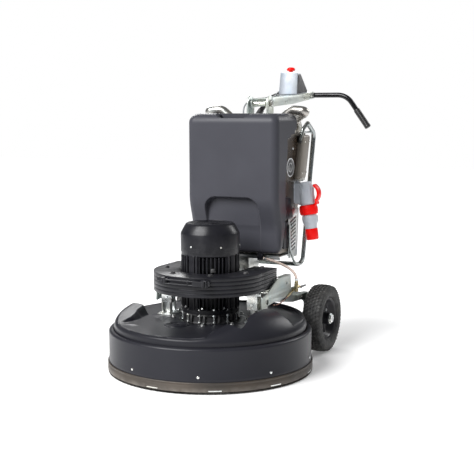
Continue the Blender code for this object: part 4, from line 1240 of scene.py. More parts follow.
def build_cabinet():
    shape = bmesh.new()
    low, high = span("cabinet")
    outer = leaning(0.003, 0.163, low.z, high.z)
    for sign in (-1, 1):
        side_plate(shape, [rounded(outer, 0.006)], sign * (CABINET_X - 0.0015), 0.003, 0.001)
    for (y1, z1), (y2, z2) in ((outer[0], outer[1]), (outer[2], outer[3]), (outer[3], outer[0])):
        side = Vector((z2 - z1, y1 - y2)).normalized() * -0.003
        strip = [(y1, z1), (y2, z2), (y2 + side.x, z2 + side.y), (y1 + side.x, z1 + side.y)]
        side_plate(shape, [strip], 0, 2 * CABINET_X - 0.006, 0.0008)
    piece("cabinet_case", shape, HOUSING, "chassis", ["cabinet"])
    build_cabinet_cover(low, high)
    build_side_details()


def rear_matrix(y_behind, z):
    """Turns plan drawings (x, up) onto the cabinet's leaning back."""
    slope = Vector((0, LEAN, 1)).normalized()
    outward = Vector((0, 1, -LEAN)).normalized()
    matrix = Matrix((Vector((-1, 0, 0)), slope, outward)).transposed().to_4x4()
    return Matrix.Translation(at(0, tank_back(z) + y_behind, z)) @ matrix


def build_cabinet_cover(low, high):
    shape = bmesh.new()
    height = (high.z - low.z) * math.hypot(1, LEAN)
    matrix = rear_matrix(0.1633, (low.z + high.z) / 2)
    edge = rounded([(-CABINET_X, -height / 2), (CABINET_X, -height / 2), (CABINET_X, height / 2),
                    (-CABINET_X, height / 2)], 0.010)
    slots = [rounded([(-0.060, z), (0.060, z), (0.060, z + 0.006), (-0.060, z + 0.006)], 0.003)
             for z in (-0.185 + 0.016 * k for k in range(7))]
    plate(shape, [edge] + slots, 0.0036, matrix @ Matrix.Translation((0, 0, 0.0021)), 0.0010)
    for k in range(7):
        z = -0.185 + 0.016 * k
        box(shape, (-0.062, z + 0.004, 0.0030), (0.062, z + 0.0095, 0.0062), 0.0014, matrix)
    inset = rounded([(-0.165, -0.225), (0.165, -0.225), (0.165, height / 2 - 0.03),
                     (-0.165, height / 2 - 0.03)], 0.012)
    hole = rounded([(-0.161, -0.221), (0.161, -0.221), (0.161, height / 2 - 0.034),
                    (-0.161, height / 2 - 0.034)], 0.010)
    plate(shape, [inset, hole], 0.0022, matrix @ Matrix.Translation((0, 0, 0.0045)), 0.0006)
    piece("cabinet_rear_cover", shape, HOUSING, "chassis", ["cabinet_cover"])
    # Painted shade: a dark box behind the vent slots stands in for the shade inside the cabinet.
    backing = bmesh.new()
    box(backing, (-0.075, -0.20, -0.0105), (0.075, -0.07, -0.0045), 0.001, matrix)
    piece("vent_shade_backing", backing, PAINTED_SHADE, "chassis")
    screws = bmesh.new()
    for x in (-0.180, 0.0, 0.180):
        for z in (-height / 2 + 0.014, 0.0, height / 2 - 0.014):
            if x or z:
                bolt(screws, matrix @ Vector((x, z, 0.0040)), matrix.to_3x3() @ UP, 0.0052, 0.0032, 20,
                     socket=True)
    piece("cover_screws", screws, BRIGHT, "chassis")
    build_main_switch()


def build_main_switch():
    z = 0.80
    matrix = rear_matrix(0.1670, z) @ Matrix.Translation((0.10, 0, 0.0006))
    base = bmesh.new()
    box(base, (-0.031, -0.031, 0.0006), (0.031, 0.031, 0.0036), 0.0014, matrix)
    piece("switch_plate", base, YELLOW, "chassis")
    knob = bmesh.new()
    turned(knob, [(0, 0.0042), (0.0240, 0.0042), (0.0255, 0.0056), (0.0255, 0.0086), (0.0235, 0.0100),
                  (0, 0.0100)], matrix, 48)
    box(knob, (-0.0065, -0.0235, 0.0090), (0.0065, 0.0235, 0.0270), 0.0030, matrix, 3)
    piece("switch_knob", knob, RED, "switch", ["main_switch"])


def build_side_details():
    """The right flank: brown panel with a plain badge, rounded housing, louvred sheet and duct."""
    panel = bmesh.new()
    outline = [(0.330, 0.640), (0.298, 0.720), (0.304, 0.850), (0.316, 0.930), (0.360, 0.952),
               (0.470, 0.958), (0.430, 0.640)]
    side_plate(panel, [rounded(outline, 0.014)], 0.1975, 0.0026, 0.0008)
    piece("side_panel_right", panel, PANEL, "chassis")
    panel = bmesh.new()
    side_plate(panel, [rounded(outline, 0.014)], -0.1975, 0.0026, 0.0008)
    piece("side_panel_left", panel, PANEL, "chassis")
    rim, face = bmesh.new(), bmesh.new()
    for sign in (-1, 1):
        matrix = placed(at(sign * 0.1988, 0.373, 0.822), ALONG_X * sign)
        turned(rim, [(0.036, 0), (0.041, 0), (0.041, 0.0014), (0.036, 0.0014)], matrix, 56)
        turned(rim, [(0.018, 0), (0.0205, 0), (0.0205, 0.0013), (0.018, 0.0013)], matrix, 40)
        turned(face, [(0, 0), (0.0362, 0), (0.0362, 0.0008), (0, 0.0008)], matrix, 48)
        bolt(rim, at(sign * 0.1988, 0.399, 0.903), ALONG_X * sign, 0.0048, 0.003, 16, washer=False)
    piece("badge_rings", rim, PALE, "chassis")
    piece("badge_faces", face, CAST, "chassis")
    build_side_housing()
    duct = bmesh.new()
    outline = [(0.306, 0.600), (0.300, 0.700), (0.372, 0.690), (0.396, 0.600)]
    side_plate(duct, [rounded(outline, 0.012)], 0.2005, 0.008, 0.003)
    outline = [(0.296, 0.472), (0.298, 0.590), (0.348, 0.590), (0.346, 0.472)]
    side_plate(duct, [rounded(outline, 0.010)], 0.1985, 0.007, 0.003)
    piece("side_duct", duct, BLACK, "chassis")
    build_louvres()


def build_side_housing():
    shape = bmesh.new()
    outline = leaning(0.072, 0.157, 0.765, 0.960)
    outline = rounded([(y, z) for y, z in outline], 0.022, 8)
    side_plate(shape, [outline], 0.2072, 0.0296, 0.0075)
    inner = leaning(0.082, 0.147, 0.785, 0.942)
    side_plate(shape, [rounded(inner, 0.016, 6)], 0.2215, 0.0022, 0.0008)
    piece("side_box", shape, HOUSING, "chassis", ["side_housing"], 50)
    tab = bmesh.new()
    box(tab, (0.205, 0.432, 0.7635), (0.233, 0.462, 0.7725), 0.002)
    box(tab, (0.210, 0.437, 0.7590), (0.228, 0.457, 0.7660), 0.002)
    piece("inlet_tab", tab, CREAM, "chassis")
    screws = bmesh.new()
    for y, z in ((0.448, 0.795), (0.500, 0.795), (0.482, 0.930), (0.530, 0.930)):
        bolt(screws, at(0.2228, y, z), ALONG_X, 0.0036, 0.002, 16, washer=False, socket=True)
    piece("side_box_screws", screws, BRIGHT, "chassis")


def build_louvres():
    shape = bmesh.new()
    outline = [(0.352, 0.425), (0.350, 0.600), (0.392, 0.640), (0.466, 0.640), (0.450, 0.425)]
    slots = []
    for k in range(9):
        z = 0.446 + 0.0165 * k
        y = 0.358 + 0.0010 * k
        slots.append(rounded([(y, z), (y + 0.072, z + 0.021), (y + 0.072, z + 0.029), (y, z + 0.008)],
                             0.0030))
    for sign in (-1, 1):
        side_plate(shape, [rounded(outline, 0.008)] + slots, sign * 0.2006, 0.0022, 0.0005)
        for k in range(9):
            z = 0.446 + 0.0165 * k + 0.0095
            tube(shape, [at(sign * 0.2020, 0.360 + 0.001 * k, z),
                         at(sign * 0.2020, 0.429 + 0.001 * k, z + 0.0200)], 0.0013, 8)
    piece("louvred_sheets", shape, ZINC, "chassis")
    # Painted shade: dark sheets behind the louvre slots stand in for the shade behind them.
    dark = bmesh.new()
    for sign in (-1, 1):
        side_plate(dark, [[(0.355, 0.436), (0.355, 0.612), (0.446, 0.632), (0.440, 0.436)]], sign * 0.1965,
                   0.003, 0.0005)
    piece("louvre_shade_backing", dark, PAINTED_SHADE, "chassis")


build_tank()
build_cabinet()


# --- frame, wheels and tubes ----------------------------------------------------------------------
AXLE = (0.470, 0.150)
ARM_X = 0.245


def build_side_arms():
    outline = [
        (-0.025, 0.268), (-0.025, 0.318), (0.030, 0.326), (0.130, 0.372), (0.272, 0.372), (0.276, 0.312),
        (0.322, 0.312),
        (0.330, 0.272), (0.430, 0.272), (0.505, 0.250), (0.505, 0.122), (0.435, 0.122), (0.430, 0.225),
        (0.400, 0.240),
        (0.300, 0.245), (0.100, 0.280),
    ]
    for side, sign in SIDES:
        sheet = bmesh.new()
        holes = [circle(0.0131, *AXLE, 32), circle(0.0100, 0.030, 0.290, 24), circle(0.006, 0.230, 0.340, 24)]
        side_plate(sheet, [rounded(outline, 0.006)] + holes, sign * ARM_X, 0.0058, 0.0008)
        for low, high in (
            ((0.2220, 0.168, 0.3695), (0.2425, 0.272, 0.3722)),
            ((0.2220, 0.2700, 0.315), (0.2425, 0.2727, 0.370)),
            ((0.2475, 0.326, 0.2690), (0.2630, 0.430, 0.2718)),
            ((0.2475, 0.4290, 0.185), (0.2600, 0.4320, 0.270)),
        ):
            ends = sorted((sign * low[0], sign * high[0]))
            box(sheet, (ends[0], *low[1:]), (ends[1], *high[1:]), 0.0010)
        piece("arm_sheet_" + side, sheet, GALVANISED, "chassis", ["side_arm_" + side])
        fixings = bmesh.new()
        for y, z in ((0.360, 0.256), (0.390, 0.256)):
            bolt(fixings, at(sign * 0.2480, y, z), ALONG_X * sign, 0.0065)
        turned(fixings, [(0.0130, 0), (0.022, 0), (0.022, 0.004), (0.0130, 0.004)],
               placed(at(sign * 0.2480, *AXLE), ALONG_X * sign), 32)
        piece("arm_fixings_" + side, fixings, BRIGHT, "chassis")


def weld(shape, start, end, radius=0.0026):
    """A rippled bead laid between two world points."""
    start, end = Vector(start), Vector(end)
    count = max(4, round((end - start).length / 0.0022))
    points = [start.lerp(end, i / count) for i in range(count + 1)]
    tube(shape, points, [radius * (1.0 if i % 2 else 0.80) for i in range(count + 1)], 8)


def build_chassis():
    frame_parts = bmesh.new()
    box(frame_parts, (-0.200, 0.264, 0.4400), (0.200, 0.440, 0.4460), 0.0012)
    box(frame_parts, (-0.200, 0.264, 0.4300), (0.200, 0.267, 0.4410), 0.0010)
    box(frame_parts, (-0.035, 0.300, 0.2550), (0.035, 0.400, 0.4410), 0.006, steps=3)
    box(frame_parts, (-0.2415, 0.330, 0.2430), (0.2415, 0.420, 0.2700), 0.005, steps=3)
    for sign in (-1, 1):
        gusset = [(0.400, 0.4410), (0.436, 0.4410), (0.400, 0.330)]
        side_plate(frame_parts, [gusset], sign * 0.028, 0.005, 0.0006)
        plate(frame_parts, [[(sign * 0.034, 0.269), (sign * 0.150, 0.269), (sign * 0.034, 0.335)]], 0.005,
              FRONT_VIEW @ Matrix.Translation((0, 0, -0.375)), 0.0006)
    piece("chassis_weldment", frame_parts, ZINC, "chassis", ["chassis_frame"])
    beads = bmesh.new()
    for sign in (-1, 1):
        weld(beads, at(sign * 0.0355, 0.304, 0.4395), at(sign * 0.0355, 0.396, 0.4395))
        weld(beads, at(sign * 0.0355, 0.334, 0.2705), at(sign * 0.0355, 0.396, 0.2705))
        weld(beads, at(sign * 0.2405, 0.334, 0.2705), at(sign * 0.2405, 0.416, 0.2705), 0.0020)
    weld(beads, at(-0.031, 0.2995, 0.4395), at(0.031, 0.2995, 0.4395))
    piece("weld_beads", beads, TUBE_ZINC, "chassis")
    bolts = bmesh.new()
    for x in (-0.170, 0.170):
        for y in (0.285, 0.420):
            bolt(bolts, at(x, y, 0.4400), -UP, 0.0065)
    piece("frame_bolts", bolts, BRIGHT, "chassis")


def build_axle():
    shaft, nuts = bmesh.new(), bmesh.new()
    rod(shaft, at(-0.3640, *AXLE), at(0.3640, *AXLE), 0.0123, 40, 0.0015)
    piece("axle_shaft", shaft, STEEL, "chassis", ["axle"])
    for sign in (-1, 1):
        out = ALONG_X * sign
        ring = [(0.0126, 0), (0.0225, 0), (0.0225, 0.0022), (0.0126, 0.0022)]
        turned(nuts, ring, placed(at(sign * 0.3554, *AXLE), out), 40)
        turned(nuts, [(0.0126, 0), (0.0185, 0), (0.0195, 0.0010), (0.0195, 0.0055), (0.0175, 0.0072),
                      (0.0126, 0.0072)],
               placed(at(sign * 0.3577, *AXLE), out), 6)
    piece("axle_nuts", nuts, BRIGHT, "chassis")


def knob_block(shape, matrix, radius, turn, across, half_across, half_along, height):
    """One diamond block of the tread, standing on the tyre's crown."""
    corners = []
    for level, share in ((-0.002, 1.06), (height, 0.82)):
        for a, b in ((1, 0), (0, 1), (-1, 0), (0, -1)):
            angle = turn + b * half_along * share / radius
            w = across + a * half_across * share
            r = radius + level
            corners.append(shape.verts.new(matrix @ Vector((r * math.cos(angle), r * math.sin(angle), w))))
    low, high = corners[:4], corners[4:]
    shape.faces.new(high)
    shape.faces.new(low[::-1])
    for i in range(4):
        shape.faces.new((low[i], low[(i + 1) % 4], high[(i + 1) % 4], high[i]))


def build_wheel(side, sign):
    matrix = placed(at(sign * 0.315, *AXLE), ALONG_X * sign)
    body = "wheel_" + side
    tread = bmesh.new()
    outline = [(0.0920, -0.0300), (0.0960, -0.0370), (0.1040, -0.0415), (0.1150, -0.0437), (0.1260, -0.0432),
               (0.1340, -0.0400), (0.1395, -0.0345), (0.1425, -0.0240), (0.1440, -0.0100)]
    outline += [(r, -w) for r, w in reversed(outline)]
    turned(tread, outline, matrix, 144)
    around = 52
    rows = ((-0.0335, 0.1390), (-0.0205, 0.1425), (-0.0068, 0.1436), (0.0068, 0.1436), (0.0205, 0.1425),
            (0.0335, 0.1390))
    for k, (w, radius) in enumerate(rows):
        for i in range(around):
            turn = math.tau * (i + 0.5 * (k % 2)) / around
            knob_block(tread, matrix, radius, turn, w, 0.0060, 0.0068, 0.0058)
    for i in range(around):
        for sign_w in (-1, 1):
            turn = math.tau * (i + 0.25) / around
            knob_block(tread, matrix, 0.1310, turn, sign_w * 0.0405, 0.0030, 0.0050, 0.0028)
    for radius in (0.1010, 0.1180):
        for sign_w in (-1, 1):
            w = 0.0408 if radius < 0.11 else 0.0436
            ring = [(radius - 0.0012, sign_w * (w - 0.002)), (radius - 0.0006, sign_w * (w + 0.0004)),
                    (radius + 0.0006, sign_w * (w + 0.0004)), (radius + 0.0012, sign_w * (w - 0.002))]
            turned(tread, ring, matrix, 96)
    piece("tyre_tread_" + side, tread, TYRE, body, ["tyre_" + side], 24)
    rim = bmesh.new()
    outline = [(0.0128, -0.0400), (0.0240, -0.0400), (0.0258, -0.0385), (0.0265, -0.0100), (0.0300, -0.0055),
               (0.0690, -0.0040), (0.0760, -0.0100), (0.0815, -0.0260), (0.0850, -0.0300), (0.0905, -0.0320),
               (0.0915, -0.0305), (0.0915, 0.0305), (0.0905, 0.0320), (0.0850, 0.0300), (0.0815, 0.0260),
               (0.0760, 0.0100), (0.0690, 0.0040), (0.0300, 0.0055), (0.0265, 0.0100), (0.0258, 0.0385),
               (0.0240, 0.0400), (0.0128, 0.0400)]
    turned(rim, outline, matrix, 96)
    for i in range(5):
        turn = math.tau * i / 5
        start = Vector((0.0290 * math.cos(turn), 0.0290 * math.sin(turn), 0))
        end = Vector((0.0740 * math.cos(turn), 0.0740 * math.sin(turn), 0))
        for level in (-0.0045, 0.0045):
            shift = Vector((0, 0, level))
            rod(rim, matrix @ (start + shift), matrix @ (end + shift), 0.0045, 12)
    piece("rim_disc_" + side, rim, PAINT, body, ["rim_" + side], 40)
    small = bmesh.new()
    for i in range(5):
        turn = math.tau * (i + 0.5) / 5
        for level in (-1, 1):
            place = matrix @ Vector((0.050 * math.cos(turn), 0.050 * math.sin(turn), level * 0.0046))
            bolt(small, place, matrix.to_3x3() @ Vector((0, 0, level)), 0.0050)
    rod(small, matrix @ Vector((0.0790, 0.0, 0.0120)), matrix @ Vector((0.0700, 0.0, 0.0290)), 0.0026, 16,
        0.0006)
    piece("rim_bolts_" + side, small, ZINC, body)


def build_tubes():
    half = [(0.224, 0.505, 1.012), (0.215, 0.605, 0.965), (0.215, 0.480, 0.382)]
    corners = [at(*p) for p in half] + [at(-x, y, z) for x, y, z in reversed(half)]
    shape = bmesh.new()
    tube(shape, bent(corners, 0.035, 12), 0.010, 24)
    for sign in (-1, 1):
        leg = [at(sign * 0.224, 0.505, 1.012), at(sign * 0.214, 0.478, 0.985), at(sign * 0.208, 0.455, 0.935)]
        tube(shape, bent(leg, 0.02, 8), 0.0085, 20)
        tube(shape, [at(sign * 0.213, 0.482, 0.972), at(sign * 0.2145, 0.590, 0.972)], 0.0045, 16)
        inner = [at(sign * 0.212, 0.470, 0.386), at(sign * 0.212, 0.395, 0.400),
                 at(sign * 0.2080, 0.350, 0.470),
                 at(sign * 0.2075, 0.349, 0.575)]
        tube(shape, bent(inner, 0.060, 10), 0.0052, 18)
    piece("cage_bars", shape, CAGE, "chassis", ["cage_tube"], 50)
    plugs = bmesh.new()
    for sign in (-1, 1):
        rod(plugs, at(sign * 0.208, 0.4555, 0.936), at(sign * 0.2075, 0.452, 0.925), 0.0100, 24, 0.001)
    piece("cage_plugs", plugs, RUBBER, "chassis")
    top = [(0.140, 0.600, 0.830), (0.142, 0.604, 0.965), (0.150, 0.545, 1.030), (0.247, 0.437, 1.064),
           (0.172, 0.452, 1.070), (0.112, 0.455, 1.020)]
    corners = [at(*p) for p in top] + [at(-x, y, z) for x, y, z in reversed(top)]
    shape = bmesh.new()
    tube(shape, bent(corners, 0.040, 14), 0.021, 36)
    piece("top_bar", shape, TUBE_ZINC, "chassis", ["roll_bar"], 50)


build_side_arms()
build_chassis()
build_axle()
for name, way in SIDES:
    build_wheel(name, way)
build_tubes()


# --- inlet ----------------------------------------------------------------------------------------
def build_inlet():
    tilt = Matrix.Translation(at(0.247, 0.445, 0.700)) @ Matrix.Rotation(math.radians(-9), 4, "Y")
    shape = bmesh.new()
    outline = [(0, -0.0450), (0.0300, -0.0450), (0.0335, -0.0400), (0.0345, -0.0150), (0.0325, 0.0150),
               (0.0290, 0.0440), (0.0262, 0.0540), (0.0230, 0.0570), (0, 0.0570)]
    turned(shape, outline, tilt, 64)
    for i in range(18):
        turn = math.tau * i / 18
        matrix = tilt @ Matrix.Rotation(turn, 4, "Z") @ Matrix.Rotation(math.radians(5.4), 4, "Y")
        box(shape, (0.0298, -0.0014, -0.038), (0.0335, 0.0014, 0.044), 0.0008, matrix)
    box(shape, (0.1926, 0.4210, 0.6600), (0.2440, 0.4690, 0.7520), 0.007, steps=3)
    box(shape, (0.2100, 0.4250, 0.6540), (0.2480, 0.4650, 0.7000), 0.008, steps=3)
    box(shape, (0.1926, 0.412, 0.6640), (0.1990, 0.478, 0.7600), 0.003, steps=3)
    piece("inlet_shell", shape, GREY, "chassis", ["inlet_housing"], 40)
    shape = bmesh.new()
    outline = [(0, -0.0880), (0.0355, -0.0880), (0.0390, -0.0850), (0.0400, -0.0780), (0.0400, -0.0560),
               (0.0390, -0.0500), (0.0355, -0.0457), (0, -0.0457)]
    turned(shape, outline, tilt, 72)
    for i in range(24):
        matrix = tilt @ Matrix.Rotation(math.tau * i / 24, 4, "Z")
        box(shape, (0.0385, -0.0020, -0.0770), (0.0411, 0.0020, -0.0580), 0.0010, matrix)
    piece("inlet_ring", shape, RED, "chassis", ["inlet_collar"], 40)
    shape = bmesh.new()
    outline = [(0, -0.0885), (0.0300, -0.0885), (0.0330, -0.0950), (0.0343, -0.1060), (0.0335, -0.1180),
               (0.0305, -0.1290),
               (0.0270, -0.1380), (0.0262, -0.1500), (0, -0.1500)]
    turned(shape, outline, tilt, 64)
    for i in range(3):
        matrix = tilt @ Matrix.Rotation(math.radians(35 + 120 * i), 4, "Z")
        box(shape, (0.0300, -0.0055, -0.1240), (0.0362, 0.0055, -0.0960), 0.0026, matrix, 3)
    piece("plug_shell", shape, GREY, "chassis", ["inlet_plug"], 40)
    shape = bmesh.new()
    outline = [(0, -0.1504), (0.0270, -0.1504), (0.0278, -0.1540), (0.0282, -0.1700), (0.0274, -0.1950),
               (0.0245, -0.1995),
               (0, -0.2000)]
    turned(shape, outline, tilt, 56)
    piece("plug_end", shape, RED, "chassis", (), 40)
    bolts = bmesh.new()
    for y in (0.4165, 0.4735):
        for z in (0.672, 0.752):
            bolt(bolts, at(0.1990, y, z), ALONG_X, 0.0028, 0.0018, 16, washer=False, socket=True)
    piece("inlet_screws", bolts, BRIGHT, "chassis")
    lid = bmesh.new()
    turns = [math.radians(-42 + 104 * i / 26) for i in range(27)]
    outer = [(0.262 + 0.0480 * math.cos(a), 0.706 + 0.0480 * math.sin(a)) for a in turns]
    inner = [(0.262 + 0.0425 * math.cos(a), 0.706 + 0.0425 * math.sin(a)) for a in reversed(turns)]
    hook = [(0.2945, 0.6600), (0.3010, 0.6660)] + outer + inner + [(0.2925, 0.6690)]
    plate(lid, [hook], 0.0360, FRONT_VIEW @ Matrix.Translation((0, 0, -0.445)), 0.0020)
    for y in (0.4290, 0.4610):
        rib = [(0.262 + r * math.cos(a), 0.706 + r * math.sin(a)) for r,
               run in ((0.0425, turns), (0.0390, turns[::-1])) for a in run]
        plate(lid, [rib], 0.0030, FRONT_VIEW @ Matrix.Translation((0, 0, -y)), 0.0006)
    rod(lid, at(0.2958, 0.428, 0.6640), at(0.2958, 0.462, 0.6640), 0.0048, 24, 0.0008)
    piece("lid_hook", lid, RED, "inlet_flap", ["inlet_lid"])


build_inlet()


# --- handle ---------------------------------------------------------------------------------------
HINGE = (0.490, 1.100)
BAR_Y = 1.064
BAR_Z = 1.143
BAR_END = (0.315, BAR_Y, 0.990)
BAR_CORNER = (0.204, BAR_Y, BAR_Z)


def build_clevis():
    shape = bmesh.new()
    box(shape, (-0.0520, 0.456, 1.0420), (0.0520, 0.524, 1.0500), 0.0014)
    cheek = [(0.456, 1.0440), (0.524, 1.0440)] + arc(*HINGE, 0.0336, 0, 180, 36)
    for sign in (-1, 1):
        side_plate(shape, [cheek, circle(0.0086, *HINGE, 28)], sign * 0.048, 0.0078, 0.0014)
        turned(shape, [(0.0086, 0), (0.0150, 0), (0.0150, 0.0030), (0.0086, 0.0030)],
               placed(at(sign * 0.0409, *HINGE), -ALONG_X * sign), 36)
    weld(shape, at(-0.0435, 0.4600, 1.0505), at(-0.0435, 0.5200, 1.0505), 0.0020)
    weld(shape, at(0.0435, 0.4600, 1.0505), at(0.0435, 0.5200, 1.0505), 0.0020)
    piece("hinge_cheeks", shape, GALVANISED_PALE, "chassis", ["handle_clevis"])
    pins = bmesh.new()
    rod(pins, at(-0.0530, *HINGE), at(0.0530, *HINGE), 0.0078, 32, 0.0006)
    for sign in (-1, 1):
        bolt(pins, at(sign * 0.0521, *HINGE), ALONG_X * sign, 0.0120, 0.0062)
    for x, y in ((-0.030, 0.4700), (0.030, 0.4700), (-0.030, 0.5120), (0.030, 0.5120)):
        bolt(pins, at(x, y, 1.0500), UP, 0.0055)
    piece("hinge_pin", pins, BRIGHT, "chassis")


def build_handle_arm():
    slope = (BAR_Z - HINGE[1]) / (BAR_Y - HINGE[0])
    knee = (HINGE[0] + 0.30, HINGE[1] + 0.30 * slope)
    arm = [(0.468, 1.0800), (knee[0], knee[1] - 0.024), (1.048, 1.1270), (1.048, 1.1570),
           (knee[0], knee[1] + 0.016),
           (0.490, 1.1220), (0.468, 1.1100)]
    shape = bmesh.new()
    for sign in (-1, 1):
        side_plate(shape, [rounded(arm, 0.006), circle(0.0090, *HINGE, 28)], sign * 0.0345, 0.0028, 0.0007)
    top = [(1.0478, 1.1570), knee_top(knee), (0.4905, 1.1218)]
    for (y1, z1), (y2, z2) in zip(top, top[1:]):
        strip = [(y1, z1), (y2, z2), (y2, z2 - 0.0030), (y1, z1 - 0.0030)]
        side_plate(shape, [strip], 0, 0.0715, 0.0010)
    box(shape, (-0.0360, 1.0450, 1.1275), (0.0360, 1.0480, 1.1565), 0.0008)
    box(shape, (-0.0300, 1.0345, 1.1235), (0.0300, 1.0500, 1.1625), 0.003)
    piece("arm_channel", shape, GALVANISED_PALE, "handle", ["handle_arm"])
    hardware = bmesh.new()
    for y, z in ((0.700, 1.1095), (0.930, 1.1255), (1.020, 1.1400)):
        for sign in (-1, 1):
            bolt(hardware, at(sign * 0.0359, y, z), ALONG_X * sign, 0.0048)
    piece("arm_bolts", hardware, BRIGHT, "handle")
    clamp = bmesh.new()
    for x in (-0.022, 0.022):
        turned(clamp, [(0.0126, -0.008), (0.0165, -0.008), (0.0172, -0.007), (0.0172, 0.007), (0.0165, 0.008),
                       (0.0126, 0.008)], placed(at(x, BAR_Y, BAR_Z), ALONG_X), 40)
    piece("bar_clamps", clamp, ZINC, "handle")


def knee_top(knee):
    return (knee[0], knee[1] + 0.0160)


def build_bar():
    half = [BAR_END, BAR_CORNER]
    corners = [at(*p) for p in half] + [at(-x, y, z) for x, y, z in reversed(half)]
    shape = bmesh.new()
    tube(shape, bent(corners, 0.095, 20), 0.0125, 32)
    piece("bar_tube", shape, GLOSS, "handle", ["handlebar"], 60)
    for side, sign in SIDES:
        end = at(sign * BAR_END[0], *BAR_END[1:])
        along = at(sign * BAR_CORNER[0], *BAR_CORNER[1:]) - end
        outline = [(0, -0.0060), (0.0120, -0.0060), (0.0152, -0.0040), (0.0160, -0.0005), (0.0158, 0.0040)]
        for i in range(15):
            z = 0.0060 + 0.0060 * i
            outline += [(0.0152, z), (0.0157, z + 0.0012), (0.0157, z + 0.0036), (0.0152, z + 0.0048)]
        outline += [(0.0156, 0.0970), (0.0145, 0.1000), (0.0128, 0.1000), (0.0128, -0.0003), (0, -0.0003)]
        grip = bmesh.new()
        turned(grip, outline, placed(end, along), 40)
        piece("grip_sleeve_" + side, grip, GRIP, "handle", ["grip_" + side])


def build_pod():
    lean_y = Vector((0.0, 0.950 - 0.862, 1.164 - 1.244)).normalized()
    face_up = Vector((0.0, 1.244 - 1.164, 0.950 - 0.862)).normalized()
    shape = bmesh.new()
    wedge = [(0.8125, 1.1430), (0.8240, 1.2395), (0.8620, 1.2435), (0.9495, 1.1640), (0.9485, 1.1540)]
    side_plate(shape, [rounded(wedge, 0.005)], 0, 0.0850, 0.0020)
    # The housing's grey is painted shade on a white moulding.
    piece("pod_shell", shape, POD_PAINTED_SHADE, "handle", ["control_pod"])
    cheeks = bmesh.new()
    for sign in (-1, 1):
        side_plate(cheeks, [rounded([(0.8160, 1.1460), (0.8270, 1.2360), (0.8600, 1.2395), (0.9440, 1.1620),
                                     (0.9430, 1.1575)],
                                    0.006)], sign * 0.0432, 0.0022, 0.0007)
        for y, z in ((0.833, 1.228), (0.825, 1.158), (0.925, 1.166)):
            bolt(cheeks, at(sign * 0.0441, y, z), ALONG_X * sign, 0.0030, 0.0016, 16, washer=False,
                 socket=True)
    piece("pod_cheeks", cheeks, CAST, "handle")
    sheet = bmesh.new()
    outline = rounded([(-0.0475, 1.1415), (0.0475, 1.1415), (0.0440, 1.2495), (-0.0440, 1.2495)], 0.006)
    slant = Matrix.Rotation(math.atan2(0.016, 0.109), 4, "X")
    matrix = Matrix.Translation(at(0, 0.8150, 1.1955)) @ slant.inverted() @ Matrix.Rotation(math.pi / 2, 4,
                                                                                            "X")
    plate(sheet, [[(x, z - 1.1955) for x, z in outline]], 0.0026, matrix, 0.0007)
    # The front sheet's darker zinc is painted shade.
    piece("pod_front_sheet", sheet, SHEET_PAINTED_SHADE, "handle", ["pod_bracket"])
    face = bmesh.new()
    centre = at(0, 0.862, 1.244) + Vector((0, 0.950 - 0.862, 1.164 - 1.244)) * 0.46
    slope = Matrix((ALONG_X, lean_y, face_up)).transposed().to_4x4()
    matrix = Matrix.Translation(centre) @ slope
    plate(face, [rounded([(-0.038, -0.045), (0.038, -0.045), (0.038, 0.045), (-0.038, 0.045)], 0.005)] +
          [circle(0.0175, -0.018, -0.0131, 40), circle(0.0095, 0.020, -0.0131, 32)], 0.0012, matrix, 0.0004)
    for x in (-0.033, 0.033):
        for y in (-0.040, 0.040):
            bolt(face, matrix @ Vector((x, y, 0.0006)), face_up, 0.0020, 0.0010, 14, washer=False,
                 socket=True)
    piece("pod_face", face, CAST, "handle")
    lamps = bmesh.new()
    for x in (-0.022, 0.0, 0.022):
        turned(lamps, [(0, 0.0006), (0.0036, 0.0006), (0.0036, 0.0020), (0.0022, 0.0032), (0, 0.0036)],
               matrix @ Matrix.Translation((x, 0.026, 0)), 20)
    piece("pod_lamps", lamps, CREAM, "handle")
    build_controls(face_up)


